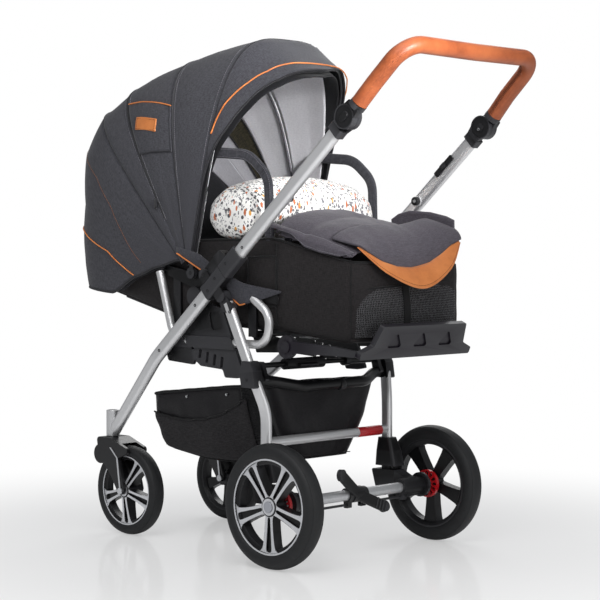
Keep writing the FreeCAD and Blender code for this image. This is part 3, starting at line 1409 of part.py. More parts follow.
def hood_bow(angle, half):
    """Flat bow standing on the hood pins."""
    height = hood_radius(angle) - hood_cloth - bow_gap
    ring = Part.Face(arch(angle, half, height, hood_power(angle), bow_thick))
    across = slope(angle + 90)
    band = ring.extrude(across * bow_width)
    band.translate(across * (-bow_width / 2))
    feet = []
    for x_start in (half - bow_thick, -half):
        foot = cross_disc(HOOD_PIN, bow_foot_radius, x_start, x_start + bow_thick)
        direction = slope(angle)
        start = V(x_start + bow_thick / 2, HOOD_PIN.y, HOOD_PIN.z)
        stem = bar_section(start, start + direction * (hood_start + bow_width), ALONG_X, bow_thick, across, bow_width, 0.0)
        feet.append(joined(foot, stem))
    bore = cross_disc(HOOD_PIN, hood_pin_radius + running, -half - bite, half + bite)
    return joined(band, *feet).cut(bore)


def basket():
    """Cloth basket hung between the legs: open top, sloped ends."""
    back_top = rear_bar_y - rear_bar_radius - basket_bar_gap
    front = basket_front_y
    belly_y = rear_leg_low_y - cross_radius - 3 * bite
    open_z = rear_bar_z + cutter
    outline = [
        (front - 6 * bite, basket_front_z), (front + 14 * bite, basket_slope_z),
        (front + basket_front_lean, basket_floor + 16 * bite), (front + basket_belly, basket_floor),
        (belly_y - 8 * basket_corner, basket_floor), (belly_y - 3 * bite, basket_floor + basket_corner),
        (belly_y, cross_z + basket_corner + basket_cloth), (back_top, rear_bar_z - basket_cloth),
        (basket_back_y, basket_back_z), (basket_middle_y, basket_middle_z),
    ]
    outer = slab(outline, -basket_half, basket_half, basket_corner)
    cloth = basket_cloth
    inner = slab([
        (front - 6 * bite + cloth, open_z), (front + 14 * bite + cloth, basket_slope_z),
        (front + basket_front_lean, basket_floor + 16 * bite + cloth), (front + basket_belly + cloth / 2, basket_floor + cloth),
        (belly_y - 8 * basket_corner, basket_floor + cloth), (belly_y - 3 * bite - cloth, basket_floor + basket_corner + cloth / 2),
        (belly_y - cloth, cross_z + basket_corner + cloth), (back_top - cloth, rear_bar_z - cloth), (back_top - cloth, open_z),
    ], cloth - basket_half, basket_half - cloth, basket_corner - 2 * bite)
    return outer.cut(inner)


# ------------------------------------------------------------------ the whole pram
def place_wheel(shape, place, x):
    placed = shape.copy()
    placed.translate(V(x, place.y, place.z))
    return placed


def main():
    os.makedirs("parts", exist_ok=True)

    leg = front_leg()
    knuckle = lower_knuckle(leg)
    carrier = seat_carrier()
    save_pair("front_leg", leg)
    save_pair("lower_knuckle", knuckle)
    save_pair("side_plate", side_plate(carrier, knuckle))
    save_pair("seat_carrier", carrier)

    tube = push_tube()
    save_pair("push_tube", tube)
    save_pair("upper_knuckle", upper_knuckle(tube))
    save_pair("handle_joint", handle_joint(tube))
    save_pair("fold_latch", fold_latch())
    hub = handle_hub()
    save_pair("handle_hub", hub)
    save_pair("handle_button", handle_button())
    save("handle_grip", handle_grip().cut(hub).cut(flipped(hub)))

    save_pair("caster_fork", caster_fork())
    front_ring_radius = front_wheel_radius - front_tyre_depth
    front_rim = wheel_rim(front_ring_radius, front_tyre_width, front_hub_radius, fork_inside - blade_gap,
                          front_bolt_radius + running, front_spoke_root, front_spoke_tip)
    front_tyre = tyre(front_wheel_radius, front_ring_radius, front_tyre_width)
    save_pair("front_rim", place_wheel(front_rim, FRONT_AXLE, caster_x))
    save_pair("front_tyre", place_wheel(front_tyre, FRONT_AXLE, caster_x))

    back_leg = rear_leg()
    save_pair("rear_leg", back_leg)
    save_both("rear_leg_brackets", rear_leg_bracket(back_leg))
    save("rear_bar", rear_bar(back_leg))
    save("rear_crossbar", rear_crossbar(back_leg))
    save_both("suspension_cups", suspension_cup(back_leg))
    save("fold_lock", fold_lock())

    save_both("axle_blocks", axle_block())
    save("axle_tube", axle_tube())
    save("brake_pedal", brake_pedal())
    save("brake_rod_left", brake_rod(1))
    save("brake_rod_right", brake_rod(-1))
    rear_ring_radius = rear_wheel_radius - rear_tyre_depth
    rear_rim = wheel_rim(rear_ring_radius, rear_tyre_width, rear_hub_radius, rear_hub_half,
                         stub_radius + running, rear_spoke_root, rear_spoke_tip)
    cap = Part.makeCylinder(hub_cap_radius, hub_cap_height + bite, V(rear_hub_half - bite, 0, 0), ALONG_X)
    cap = cap.makeFillet(bite, [edge for edge in cap.Edges if edge.BoundBox.XMin > rear_hub_half])
    rear_rim = joined(rear_rim, cap)
    rear_tyre = tyre(rear_wheel_radius, rear_ring_radius, rear_tyre_width)
    save_pair("rear_rim", place_wheel(rear_rim, REAR_AXLE, rear_wheel_x))
    save_pair("rear_tyre", place_wheel(rear_tyre, REAR_AXLE, rear_wheel_x))
    save_pair("brake_disc", brake_disc())

    save("seat_frame", seat_frame())
    save("seat_pan", seat_pan())
    save("footrest", footrest())
    save("carry_bag", carry_bag())
    save("apron", apron())
    save("pillow", pillow())
    save_pair("carry_handle", carry_handle())
    save("hood_rear", hood_rear())
    save("hood_bow_middle", hood_bow(middle_bow_angle, MIDDLE_BOW_HALF))
    save("hood_bow_front", hood_bow(front_bow_angle, FRONT_BOW_HALF))
    save("hood_panel_middle", hood_panel([
        middle_bow_angle + panel_gap, (middle_bow_angle + zip_angle) / 2, zip_angle,
        rear_bow_angle - panel_gap], panel_bulge))
    save("hood_panel_front", hood_panel([
        brim_angle, front_bow_angle, (front_bow_angle + middle_bow_angle) / 2, middle_bow_angle - panel_gap], panel_bulge))
    save("basket", basket())


main()
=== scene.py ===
import json
import math

import bmesh
import bpy
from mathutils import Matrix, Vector, noise


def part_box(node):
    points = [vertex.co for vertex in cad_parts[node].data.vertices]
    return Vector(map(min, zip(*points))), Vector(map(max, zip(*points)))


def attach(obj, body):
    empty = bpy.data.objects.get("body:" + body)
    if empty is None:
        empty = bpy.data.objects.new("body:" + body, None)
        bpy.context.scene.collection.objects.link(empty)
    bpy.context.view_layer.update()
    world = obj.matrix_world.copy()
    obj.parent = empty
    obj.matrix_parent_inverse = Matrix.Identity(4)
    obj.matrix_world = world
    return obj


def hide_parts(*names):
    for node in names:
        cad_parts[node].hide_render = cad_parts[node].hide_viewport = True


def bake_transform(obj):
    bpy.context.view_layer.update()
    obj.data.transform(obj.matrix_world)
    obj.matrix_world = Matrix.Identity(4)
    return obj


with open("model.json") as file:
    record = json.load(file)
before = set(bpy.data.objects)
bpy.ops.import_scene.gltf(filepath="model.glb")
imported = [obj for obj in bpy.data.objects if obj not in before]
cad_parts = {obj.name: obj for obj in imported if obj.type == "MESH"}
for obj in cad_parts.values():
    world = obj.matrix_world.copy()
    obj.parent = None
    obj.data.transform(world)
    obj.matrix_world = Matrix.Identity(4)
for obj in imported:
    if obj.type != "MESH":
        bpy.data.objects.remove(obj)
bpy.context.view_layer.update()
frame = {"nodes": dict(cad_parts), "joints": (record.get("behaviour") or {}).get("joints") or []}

# ---------------------------------------------------------------- studio
# A pale floor and background, four broad soft lamps with a soft spot on the hood, and a camera that
# looks at the pram from behind its left rear wheel, at about the height of the seat.
CAMERA_PLACE = Vector((3.0681, 2.9349, 0.7062))
CAMERA_LOOK = Vector((-0.72724, -0.68572, -0.02997))
LENS_MM = 107.36
SENSOR_MM = 36.0
PALE = "#ffffff"


def colour(hex_value):
    """sRGB hex to the linear colour that the shaders want."""
    channels = [int(hex_value[i:i + 2], 16) / 255 for i in (1, 3, 5)]
    linear = [c / 12.92 if c <= 0.04045 else ((c + 0.055) / 1.055) ** 2.4 for c in channels]
    return (*linear, 1.0)


def plug(tree, node, sockets):
    """Fills a node's sockets; each takes a plain value or another node's output."""
    for name, value in sockets.items():
        if isinstance(value, bpy.types.NodeSocket):
            tree.links.new(value, node.inputs[name])
        else:
            node.inputs[name].default_value = value


def add(tree, kind, sockets=None, **settings):
    """Adds a node with its settings, values and links."""
    made = tree.nodes.new(kind)
    for name, value in settings.items():
        setattr(made, name, value)
    plug(tree, made, sockets or {})
    return made


def new_material(name):
    """An empty material with a Principled shader on its output; returns material, tree, shader."""
    material = bpy.data.materials.new(name)
    material.use_nodes = True
    tree = material.node_tree
    tree.nodes.clear()
    shader = add(tree, "ShaderNodeBsdfPrincipled")
    add(tree, "ShaderNodeOutputMaterial", {"Surface": shader.outputs[0]})
    return material, tree, shader


def put(name, data):
    """Adds an object to the scene."""
    made = bpy.data.objects.new(name, data)
    bpy.context.collection.objects.link(made)
    return made


def lamp(name, place, size, watts, aim=(0, 0, 0.5), cone=None):
    """A square soft lamp, or a soft spot with its cone in degrees."""
    light = bpy.data.lights.new(name, "SPOT" if cone else "AREA")
    light.energy = watts
    if cone:
        light.spot_size = math.radians(cone)
        light.spot_blend = 0.7
        light.shadow_soft_size = size / 2
    else:
        light.size = size
    holder = put(name, light)
    holder.location = place
    holder.rotation_euler = (Vector(aim) - Vector(place)).to_track_quat("-Z", "Y").to_euler()


def seen_directly(tree):
    """1 for what the camera sees itself or through a clear gap, 0 for all other light."""
    rays = add(tree, "ShaderNodeLightPath")
    seen = add(tree, "ShaderNodeMath", {
        0: rays.outputs["Is Camera Ray"], 1: rays.outputs["Is Transmission Ray"]}, operation="MAXIMUM")
    return seen.outputs[0]


# Away from the pram the floor goes over to plain white, so that it has no horizon.
FADE_START, FADE_END, FLOOR_GLOW = 0.55, 1.7, 0.42
floor_white, tree, shader = new_material("white_studio_floor")
plug(tree, shader, {"Base Color": colour(PALE), "Roughness": 0.12})
place = add(tree, "ShaderNodeTexCoord")
away = add(tree, "ShaderNodeVectorMath", {0: place.outputs["Object"]}, operation="LENGTH")
fade = add(tree, "ShaderNodeMapRange", {
    "Value": away.outputs["Value"], 1: FADE_START, 2: FADE_END, 3: FLOOR_GLOW, 4: 1.0},
    interpolation_type="SMOOTHSTEP")
share = add(tree, "ShaderNodeMath", {0: seen_directly(tree), 1: fade.outputs[0]}, operation="MULTIPLY")
glow = add(tree, "ShaderNodeEmission", {"Color": colour(PALE), "Strength": 1.0})
either = add(tree, "ShaderNodeMixShader", {0: share.outputs[0], 1: shader.outputs[0], 2: glow.outputs[0]})
plug(tree, next(node for node in tree.nodes if node.type == "OUTPUT_MATERIAL"), {0: either.outputs[0]})
bpy.ops.mesh.primitive_plane_add(size=30)
studio_floor = bpy.context.object
studio_floor.name = "studio_floor"
studio_floor.data.materials.append(floor_white)

world = bpy.data.worlds.new("studio_world")
bpy.context.scene.world = world
world.use_nodes = True
tree = world.node_tree
tree.nodes.clear()
white, soft = [add(tree, "ShaderNodeBackground", {"Color": colour(tone), "Strength": strength})
               for tone, strength in ((PALE, 1.0), ("#f2f4f7", 0.35))]
either = add(tree, "ShaderNodeMixShader", {
    0: seen_directly(tree), 1: soft.outputs[0], 2: white.outputs[0]})
add(tree, "ShaderNodeOutputWorld", {"Surface": either.outputs[0]})
# Name, place and size in metres, watts, and for the spot its aim and its cone in degrees.
LAMPS = (
    ("key_lamp", (2.6, 1.4, 3.0), 2.2, 58.0),
    ("fill_lamp", (0.6, 3.6, 1.3), 2.2, 20.0),
    ("hood_lamp", (0.5, 1.9, 1.2), 0.5, 330.0, (0, -0.14, 1.0), 21.0),
    ("roof_lamp", (0.3, 0.3, 3.4), 3.0, 26.0),
    ("rim_lamp", (-2.4, -1.8, 2.6), 2.0, 40.0))
for row in LAMPS:
    lamp(*row)

lens = bpy.data.cameras.new("camera")
lens.lens = LENS_MM
lens.sensor_width = SENSOR_MM
lens.clip_end = 50
camera = put("camera", lens)
camera.location = CAMERA_PLACE
camera.rotation_euler = CAMERA_LOOK.to_track_quat("-Z", "Y").to_euler()
bpy.context.scene.camera = camera
bpy.context.scene.view_settings.view_transform = "Standard"

# ---------------------------------------------------------------- tubes of the frame
# Drawn flat-oval aluminium tube, brushed along its length and anodised silver: legs, push tubes,
# rear legs, seat carriers, cross bar and axle. The finish is satin with faint long lines.
SIDES = (("left", 1), ("right", -1))
pins = {joint["name"]: joint for joint in frame["joints"]}
rear_axle = Vector(pins["rear_wheel_spin_left"]["pos_m"])
tube_way = Vector(pins["latch_slide_left"]["axis"]).normalized()
tube_up = Vector((0, -tube_way.z, tube_way.y))
FOLD_PIN_ALONG, FOLD_PIN_ABOVE = -43.0, 32.8
fold_pin = Vector(pins["push_fold"]["pos_m"])


def at(x, y, z):
    """A place in metres from millimetres: across, behind the rear axle, above the ground."""
    return Vector((x / 1000, rear_axle.y + y / 1000, z / 1000))


def on_tube(along, above, x):
    """A place on the frame line in metres, from millimetres along it, above it and across."""
    place = (fold_pin + tube_way * (along - FOLD_PIN_ALONG) / 1000
             + tube_up * (above - FOLD_PIN_ABOVE) / 1000)
    return Vector((x / 1000, place.y, place.z))


def dress(material, *names):
    """Gives CAD nodes one finish."""
    for name in names:
        slots = frame["nodes"][name].data.materials
        slots.clear()
        slots.append(material)


def both(*names):
    return [name + "_" + side for name in names for side, _ in SIDES]


anodised, tree, shader = new_material("anodised_aluminium")
coords = add(tree, "ShaderNodeTexCoord")
# Drawing lines lie along the frame's slant; the real ones are finer, these are coarse enough to show.
level = add(tree, "ShaderNodeMapping", {
    0: coords.outputs["Object"], "Rotation": (-math.atan2(tube_way.z, tube_way.y), 0.0, 0.0)})
stretched = add(tree, "ShaderNodeMapping", {0: level.outputs[0], "Scale": (420.0, 6.0, 420.0)})
drawn = add(tree, "ShaderNodeTexNoise", {"Vector": stretched.outputs[0], "Scale": 1.0, "Detail": 2.0})
clouds = add(tree, "ShaderNodeTexNoise", {
    "Vector": coords.outputs["Object"], "Scale": 9.0, "Detail": 3.0})
satin = add(tree, "ShaderNodeMapRange", {"Value": clouds.outputs[0], 3: 0.30, 4: 0.46})
lines = add(tree, "ShaderNodeBump", {"Height": drawn.outputs[0], "Strength": 0.05, "Distance": 0.0001})
plug(tree, shader, {"Base Color": colour("#dcdcdd"), "Metallic": 0.75, "Roughness": satin.outputs[0],
                    "Normal": lines.outputs[0]})
dress(anodised, "rear_crossbar", "axle_tube",
      *both("front_leg", "push_tube", "rear_leg", "seat_carrier"))

# ---------------------------------------------------------------- moulded black parts
# Glass-filled nylon mouldings with a fine spark-eroded grain: knuckles, joints, forks, brackets,
# plates, footrest and pedal. Nearly black, low sheen, cloudy where the fibres lie near the skin.


def moulded_nylon(name, dark, light, rough):
    """Grained black nylon, a little paler where it is rubbed at its edges."""
    material, tree, shader = new_material(name)
    place = add(tree, "ShaderNodeTexCoord").outputs["Object"]
    # The real grain is about 0.3 mm; it is drawn at about 1 mm so that it shows.
    grain = add(tree, "ShaderNodeTexNoise", {"Vector": place, "Scale": 1000.0, "Detail": 3.0})
    clouds = add(tree, "ShaderNodeTexNoise", {"Vector": place, "Scale": 16.0, "Detail": 4.0})
    edges = add(tree, "ShaderNodeNewGeometry")
    worn = add(tree, "ShaderNodeMapRange", {"Value": edges.outputs["Pointiness"], 1: 0.52, 2: 0.62})
    tone = add(tree, "ShaderNodeMix", {0: clouds.outputs[0], 6: colour(dark), 7: colour(light)},
               data_type="RGBA")
    rubbed = add(tree, "ShaderNodeMix", {0: worn.outputs[0], 6: tone.outputs[2], 7: colour("#37373a")},
                 data_type="RGBA")
    bump = add(tree, "ShaderNodeBump", {"Height": grain.outputs[0], "Strength": 0.15, "Distance": 0.0004})
    plug(tree, shader, {"Base Color": rubbed.outputs[2], "Roughness": rough, "Specular IOR Level": 0.3,
                        "Normal": bump.outputs[0]})
    return material


black_nylon = moulded_nylon("moulded_nylon_black", "#121213", "#1b1b1d", 0.42)
grey_nylon = moulded_nylon("moulded_nylon_charcoal", "#17141a", "#221e27", 0.36)
powder_black = moulded_nylon("powder_coated_steel_black", "#0e0e0f", "#141416", 0.3)
dress(black_nylon, "rear_leg_brackets", "suspension_cups", "axle_blocks", "brake_pedal", "seat_pan",
      "fold_lock", *both("lower_knuckle", "side_plate", "upper_knuckle", "handle_joint", "fold_latch",
                         "handle_hub", "handle_button", "caster_fork"))
dress(grey_nylon, "footrest")
dress(powder_black, "rear_bar", "seat_frame", "hood_bow_front", "hood_bow_middle", *both("brake_rod"))

# ---------------------------------------------------------------- screws and rivets
# Zinc-plated and blackened socket screws and rivets hold tubes and mouldings. Each is a low round
# head with a round socket, grown on its place by one Geometry Nodes tree, one mesh for each body.


def node_tree(name, inputs):
    """An empty Geometry Nodes tree with named inputs; returns the tree and its input node."""
    tree = bpy.data.node_groups.new(name, "GeometryNodeTree")
    tree.interface.new_socket("Guide", in_out="INPUT", socket_type="NodeSocketGeometry")
    for label, kind in inputs.items():
        tree.interface.new_socket(label, in_out="INPUT", socket_type="NodeSocket" + kind)
    tree.interface.new_socket("Geometry", in_out="OUTPUT", socket_type="NodeSocketGeometry")
    return tree, tree.nodes.new("NodeGroupInput")


def end_tree(tree, given, shape):
    """Ends a tree in plain geometry with one material."""
    real = add(tree, "GeometryNodeRealizeInstances", {"Geometry": shape})
    dressed = add(tree, "GeometryNodeSetMaterial", {
        "Geometry": real.outputs[0], "Material": given.outputs["Finish"]})
    add(tree, "NodeGroupOutput", {"Geometry": dressed.outputs[0]})


def face_outward(mesh):
    """Turns a closed mesh's faces outward."""
    shape = bmesh.new()
    shape.from_mesh(mesh)
    if shape.calc_volume(signed=True) < 0:
        bmesh.ops.reverse_faces(shape, faces=shape.faces)
        shape.to_mesh(mesh)
    shape.free()


def grow(name, body, tree, guide, **sizes):
    """Runs a tree on a guide mesh and keeps its result as a plain mesh on one body."""
    holder = put(name + "_guide", guide)
    modifier = holder.modifiers.new("nodes", "NODES")
    modifier.node_group = tree
    for item in tree.interface.items_tree:
        if item.in_out == "INPUT" and item.name in sizes:
            modifier[item.identifier] = sizes[item.name]
    graph = bpy.context.evaluated_depsgraph_get()
    made = bpy.data.meshes.new_from_object(holder.evaluated_get(graph))
    bpy.data.objects.remove(holder)
    piece = put(name, made)
    face_outward(made)
    made.shade_smooth()
    if body:
        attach(piece, body)
    return piece


def marks(places, ways):
    """A guide mesh of loose points that each carry the way they face."""
    mesh = bpy.data.meshes.new("marks")
    mesh.from_pydata([tuple(place) for place in places], [], [])
    facing = mesh.attributes.new("facing", "FLOAT_VECTOR", "POINT")
    facing.data.foreach_set("vector", [value for way in ways for value in way])
    return mesh


screw_tree, given = node_tree("screw_head", {"Radius": "Float", "Height": "Float", "Finish": "Material"})
head = add(screw_tree, "GeometryNodeMeshCylinder", {
    "Vertices": 20, "Radius": given.outputs["Radius"], "Depth": given.outputs["Height"]},
    fill_type="NGON")
normal = add(screw_tree, "GeometryNodeInputNormal")
upright = add(screw_tree, "ShaderNodeSeparateXYZ", {0: normal.outputs[0]})
top = add(screw_tree, "FunctionNodeCompare", {0: upright.outputs[2], 1: 0.5}, operation="GREATER_THAN")
rim_face = add(screw_tree, "GeometryNodeExtrudeMesh", {
    "Mesh": head.outputs[0], "Selection": top.outputs[0], "Offset Scale": 0.0}, mode="FACES")
shrunk = add(screw_tree, "GeometryNodeScaleElements", {
    "Geometry": rim_face.outputs[0], "Selection": rim_face.outputs["Top"], "Scale": 0.5})
deep = add(screw_tree, "ShaderNodeMath", {0: given.outputs["Height"], 1: -0.7}, operation="MULTIPLY")
socket = add(screw_tree, "GeometryNodeExtrudeMesh", {
    "Mesh": shrunk.outputs[0], "Selection": rim_face.outputs["Top"], "Offset Scale": deep.outputs[0]},
    mode="FACES")
facing = add(screw_tree, "GeometryNodeInputNamedAttribute", {"Name": "facing"}, data_type="FLOAT_VECTOR")
turned = add(screw_tree, "FunctionNodeAlignRotationToVector", {"Vector": facing.outputs[0]}, axis="Z")
heads = add(screw_tree, "GeometryNodeInstanceOnPoints", {
    "Points": given.outputs["Guide"], "Instance": socket.outputs[0], "Rotation": turned.outputs[0]})
end_tree(screw_tree, given, heads.outputs[0])


def mottled(name, dark, light, rough, scale, metal=0.0, detail=2.0, bump=None):
    """Two close tones mixed by noise, which also stands out where bump gives (strength, distance)."""
    material, tree, shader = new_material(name)
    coords = add(tree, "ShaderNodeTexCoord")
    flow = add(tree, "ShaderNodeTexNoise", {
        "Vector": coords.outputs["Object"], "Scale": scale, "Detail": detail})
    tone = add(tree, "ShaderNodeMix", {0: flow.outputs[0], 6: colour(dark), 7: colour(light)},
               data_type="RGBA")
    plug(tree, shader, {"Base Color": tone.outputs[2], "Roughness": rough, "Metallic": metal})
    if bump:
        raised = add(tree, "ShaderNodeBump", {
            "Height": flow.outputs[0], "Strength": bump[0], "Distance": bump[1]})
        plug(tree, shader, {"Normal": raised.outputs[0]})
    return material


def plated_steel(name, hex_value, rough):
    """Plated steel: bright, with fine tool marks that scatter the highlight."""
    return mottled(name, hex_value, hex_value, rough, 1400.0, metal=1.0, bump=(0.2, 0.0002))


zinc = plated_steel("zinc_plated_steel", "#9b9c9e", 0.3)
blackened = plated_steel("blackened_steel", "#3a3a3c", 0.35)
HEAD_HEIGHT = 0.0016


def screws(name, body, finish, radius, places, outward=1):
    """Screw heads on both sides of the pram; places are on the left, X is where their seat lies."""
    spots = [Vector((place.x * side, place.y, place.z)) for place in places for _, side in SIDES]
    ways = [(side * outward, 0, 0) for _ in places for _, side in SIDES]
    grow(name, body, screw_tree, marks(spots, ways), Radius=radius / 1000, Height=HEAD_HEIGHT,
         Finish=finish)


TUBE_FACE, TUBE_INNER_FACE = 244.0, 224.0
KNUCKLE_FACE = 247.5
JOINT_SCREW = Vector((0.2205, 0.3984, 0.9757))
screws("leg_screws", "front_frame", blackened, 3.6, [
    on_tube(-112, 0, TUBE_FACE), on_tube(-276, 0, TUBE_FACE),
    on_tube(FOLD_PIN_ALONG, FOLD_PIN_ABOVE, KNUCKLE_FACE),
    on_tube(-20, 2, KNUCKLE_FACE), on_tube(-56, -4, KNUCKLE_FACE)])
screws("tube_screws", "push_frame", blackened, 3.4, [
    on_tube(91, -2, TUBE_FACE), on_tube(460, -5, TUBE_FACE), on_tube(29, 4, KNUCKLE_FACE)])
screws("tube_rivets", "push_frame", zinc, 3.2, [
    on_tube(466, 0, TUBE_INNER_FACE), on_tube(95, 0, TUBE_INNER_FACE)], outward=-1)
screws("joint_screws", "push_frame", zinc, 3.4, [JOINT_SCREW], outward=-1)
screws("rear_leg_screws", "rear_frame", blackened, 3.4, [at(237.0, -176, 558), at(241.0, -118, 407)])

# ---------------------------------------------------------------- handlebar
# A bent tube wrapped in cognac leather, pulled tight and closed with a seam of thick thread along
# the inner side. The leather is smooth, waxed and mottled, darker where it is stretched.
GRIP_RADIUS = 18.5


def leather(name, base, dark, light, grain_mm):
    """Smooth waxed leather: cloudy colour, fine pores and a soft sheen."""
    material, tree, shader = new_material(name)
    place = add(tree, "ShaderNodeTexCoord").outputs["Object"]
    clouds = add(tree, "ShaderNodeTexNoise", {
        "Vector": place, "Scale": 11.0, "Detail": 6.0, "Roughness": 0.65})
    # Real pores are about 0.4 mm apart; these are coarser so that they show.
    pores = add(tree, "ShaderNodeTexVoronoi", {"Vector": place, "Scale": 1000.0 / grain_mm})
    ramp = add(tree, "ShaderNodeValToRGB", {"Fac": clouds.outputs[0]})
    for stop, position, tone in zip(ramp.color_ramp.elements, (0.3, 0.72), (dark, light)):
        stop.position = position
        stop.color = colour(tone)
    ramp.color_ramp.elements.new(0.5).color = colour(base)
    sheen = add(tree, "ShaderNodeMapRange", {"Value": clouds.outputs[0], 3: 0.36, 4: 0.52})
    bump = add(tree, "ShaderNodeBump", {"Height": pores.outputs[0], "Strength": 0.18, "Distance": 0.0006})
    plug(tree, shader, {"Base Color": ramp.outputs[0], "Roughness": sheen.outputs[0],
                        "Normal": bump.outputs[0]})
    return material


grip_leather = leather("waxed_leather_cognac", "#984e29", "#763719", "#a95d33", 1.6)
trim_leather = leather("waxed_leather_tan", "#c8793f", "#b36731", "#d88b50", 1.8)
dress(grip_leather, "handle_grip")


def thread(name, hex_value):
    """Twisted polyester thread: matt, with fine diagonal strands."""
    return mottled(name, hex_value, hex_value, 0.75, 2500.0, bump=(0.4, 0.0002))


brown_thread = thread("polyester_thread_brown", "#5d2b14")
grey_thread = thread("polyester_thread_grey", "#75737a")

stitch_tree, given = node_tree("stitch_row", {
    "Spacing": "Float", "Stitch": "Float", "Thickness": "Float", "Finish": "Material"})
seam_line = add(stitch_tree, "GeometryNodeMeshToCurve", {"Mesh": given.outputs["Guide"]})
spots = add(stitch_tree, "GeometryNodeCurveToPoints", {
    "Curve": seam_line.outputs[0], "Length": given.outputs["Spacing"]}, mode="LENGTH")
stitch = add(stitch_tree, "GeometryNodeMeshCylinder", {
    "Vertices": 6, "Radius": given.outputs["Thickness"], "Depth": given.outputs["Stitch"]},
    fill_type="NGON")
lie = add(stitch_tree, "FunctionNodeAlignRotationToVector", {"Vector": spots.outputs["Tangent"]},
          axis="Z")
row = add(stitch_tree, "GeometryNodeInstanceOnPoints", {
    "Points": spots.outputs[0], "Instance": stitch.outputs[0], "Rotation": lie.outputs[0]})
end_tree(stitch_tree, given, row.outputs[0])

welt_tree, given = node_tree("welt", {"Radius": "Float", "Finish": "Material"})
welt_line = add(welt_tree, "GeometryNodeMeshToCurve", {"Mesh": given.outputs["Guide"]})
ring = add(welt_tree, "GeometryNodeCurvePrimitiveCircle", {
    "Resolution": 8, "Radius": given.outputs["Radius"]}, mode="RADIUS")
welt = add(welt_tree, "GeometryNodeCurveToMesh", {
    "Curve": welt_line.outputs[0], "Profile Curve": ring.outputs[0], "Fill Caps": True})
end_tree(welt_tree, given, welt.outputs[0])


def path_mesh(*paths):
    """A guide mesh of open polylines."""
    mesh = bpy.data.meshes.new("paths")
    places = [tuple(place) for path in paths for place in path]
    links = []
    start = 0
    for path in paths:
        links += [(start + step, start + step + 1) for step in range(len(path) - 1)]
        start += len(path)
    mesh.from_pydata(places, links, [])
    return mesh


def stitches(name, body, finish, *paths, spacing=5.0, length=3.4, thickness=0.45):
    return grow(name, body, stitch_tree, path_mesh(*paths), Spacing=spacing / 1000, Stitch=length / 1000,
                Thickness=thickness / 1000, Finish=finish)


def welts(name, body, finish, radius, *paths):
    return grow(name, body, welt_tree, path_mesh(*paths), Radius=radius / 1000, Finish=finish)


def smooth_line(corners, radius, steps=10):
    """Straight runs with round corners, as a list of places."""
    line = [corners[0]]
    for before, corner, after in zip(corners, corners[1:], corners[2:]):
        back = (before - corner).normalized()
        ahead = (after - corner).normalized()
        reach = min(radius, 0.48 * (before - corner).length, 0.48 * (after - corner).length)
        for step in range(steps + 1):
            share = step / steps
            one = corner + back * reach * (1 - share)
            two = corner + ahead * reach * share
            line.append(one.lerp(two, share))
    line.append(corners[-1])
    return line


GRIP_FOOT, GRIP_SHOULDER, GRIP_TOP = 548.0, 600.0, 717.0
half_grip = [on_tube(GRIP_FOOT, 0, 234), on_tube(GRIP_SHOULDER, 4.8, 230), on_tube(GRIP_TOP, 8, 224)]
grip_line = smooth_line(half_grip + [Vector((-p.x, p.y, p.z)) for p in reversed(half_grip)], 0.075, 14)
inner_seam = []
for index, place in enumerate(grip_line):
    along = (grip_line[min(index + 1, len(grip_line) - 1)] - grip_line[max(index - 1, 0)]).normalized()
    inward = along.cross(tube_up).normalized()
    inward = -inward if inward.dot(on_tube(GRIP_SHOULDER, 0, 0) - place) < 0 else inward
    inner_seam.append(place + inward * (GRIP_RADIUS + 0.2) / 1000)
welts("grip_seam", "handlebar", brown_thread, 0.9, inner_seam)
side_rows = [[place + tube_up * offset for place in inner_seam] for offset in (0.0035, -0.0035)]
stitches("grip_stitches", "handlebar", brown_thread, *side_rows, spacing=6.0, length=4.0, thickness=0.7)

# ---------------------------------------------------------------- wheels
# Moulded nylon rims, black with bright turned faces on the blades and on the lip, and tyres of
# black rubber foam with fine slanted sipes. A red nylon brake disc sits inside each rear wheel.


SIPES, SIPE_SHARE, SIPE_SLANT = 26, 0.08, 9.0


def foam_rubber(name, centre):
    """Black foam rubber: matt, dusty grey, with slanted sipes across the tread."""
    material, tree, shader = new_material(name)
    coords = add(tree, "ShaderNodeTexCoord")
    rel = add(tree, "ShaderNodeVectorMath", {0: coords.outputs["Object"], 1: centre},
              operation="SUBTRACT")
    part = add(tree, "ShaderNodeSeparateXYZ", {0: rel.outputs[0]})
    angle = add(tree, "ShaderNodeMath", {0: part.outputs[2], 1: part.outputs[1]}, operation="ARCTAN2")
    across = add(tree, "ShaderNodeMath", {0: part.outputs[0]}, operation="ABSOLUTE")
    slant = add(tree, "ShaderNodeMath", {0: across.outputs[0], 1: SIPE_SLANT, 2: angle.outputs[0]},
                operation="MULTIPLY_ADD")
    turns = add(tree, "ShaderNodeMath", {0: slant.outputs[0], 1: SIPES / (2 * math.pi)},
                operation="MULTIPLY")
    share = add(tree, "ShaderNodeMath", {0: turns.outputs[0]}, operation="FRACT")
    cut = add(tree, "ShaderNodeMath", {0: share.outputs[0], 1: SIPE_SHARE}, operation="LESS_THAN")
    dust = add(tree, "ShaderNodeTexNoise", {
        "Vector": coords.outputs["Object"], "Scale": 60.0, "Detail": 5.0})
    tone = add(tree, "ShaderNodeMix", {0: dust.outputs[0], 6: colour("#101112"), 7: colour("#18191c")},
               data_type="RGBA")
    depth = add(tree, "ShaderNodeMath", {0: dust.outputs[0], 1: 0.15, 2: cut.outputs[0]},
                operation="MULTIPLY_ADD")
    bump = add(tree, "ShaderNodeBump", {"Height": depth.outputs[0], "Strength": 0.5, "Distance": 0.0012},
               invert=True)
    plug(tree, shader, {"Base Color": tone.outputs[2], "Roughness": 0.62, "Normal": bump.outputs[0]})
    return material


def middle_of(node):
    """The middle of a CAD node's box."""
    low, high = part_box(node)
    return (low + high) / 2


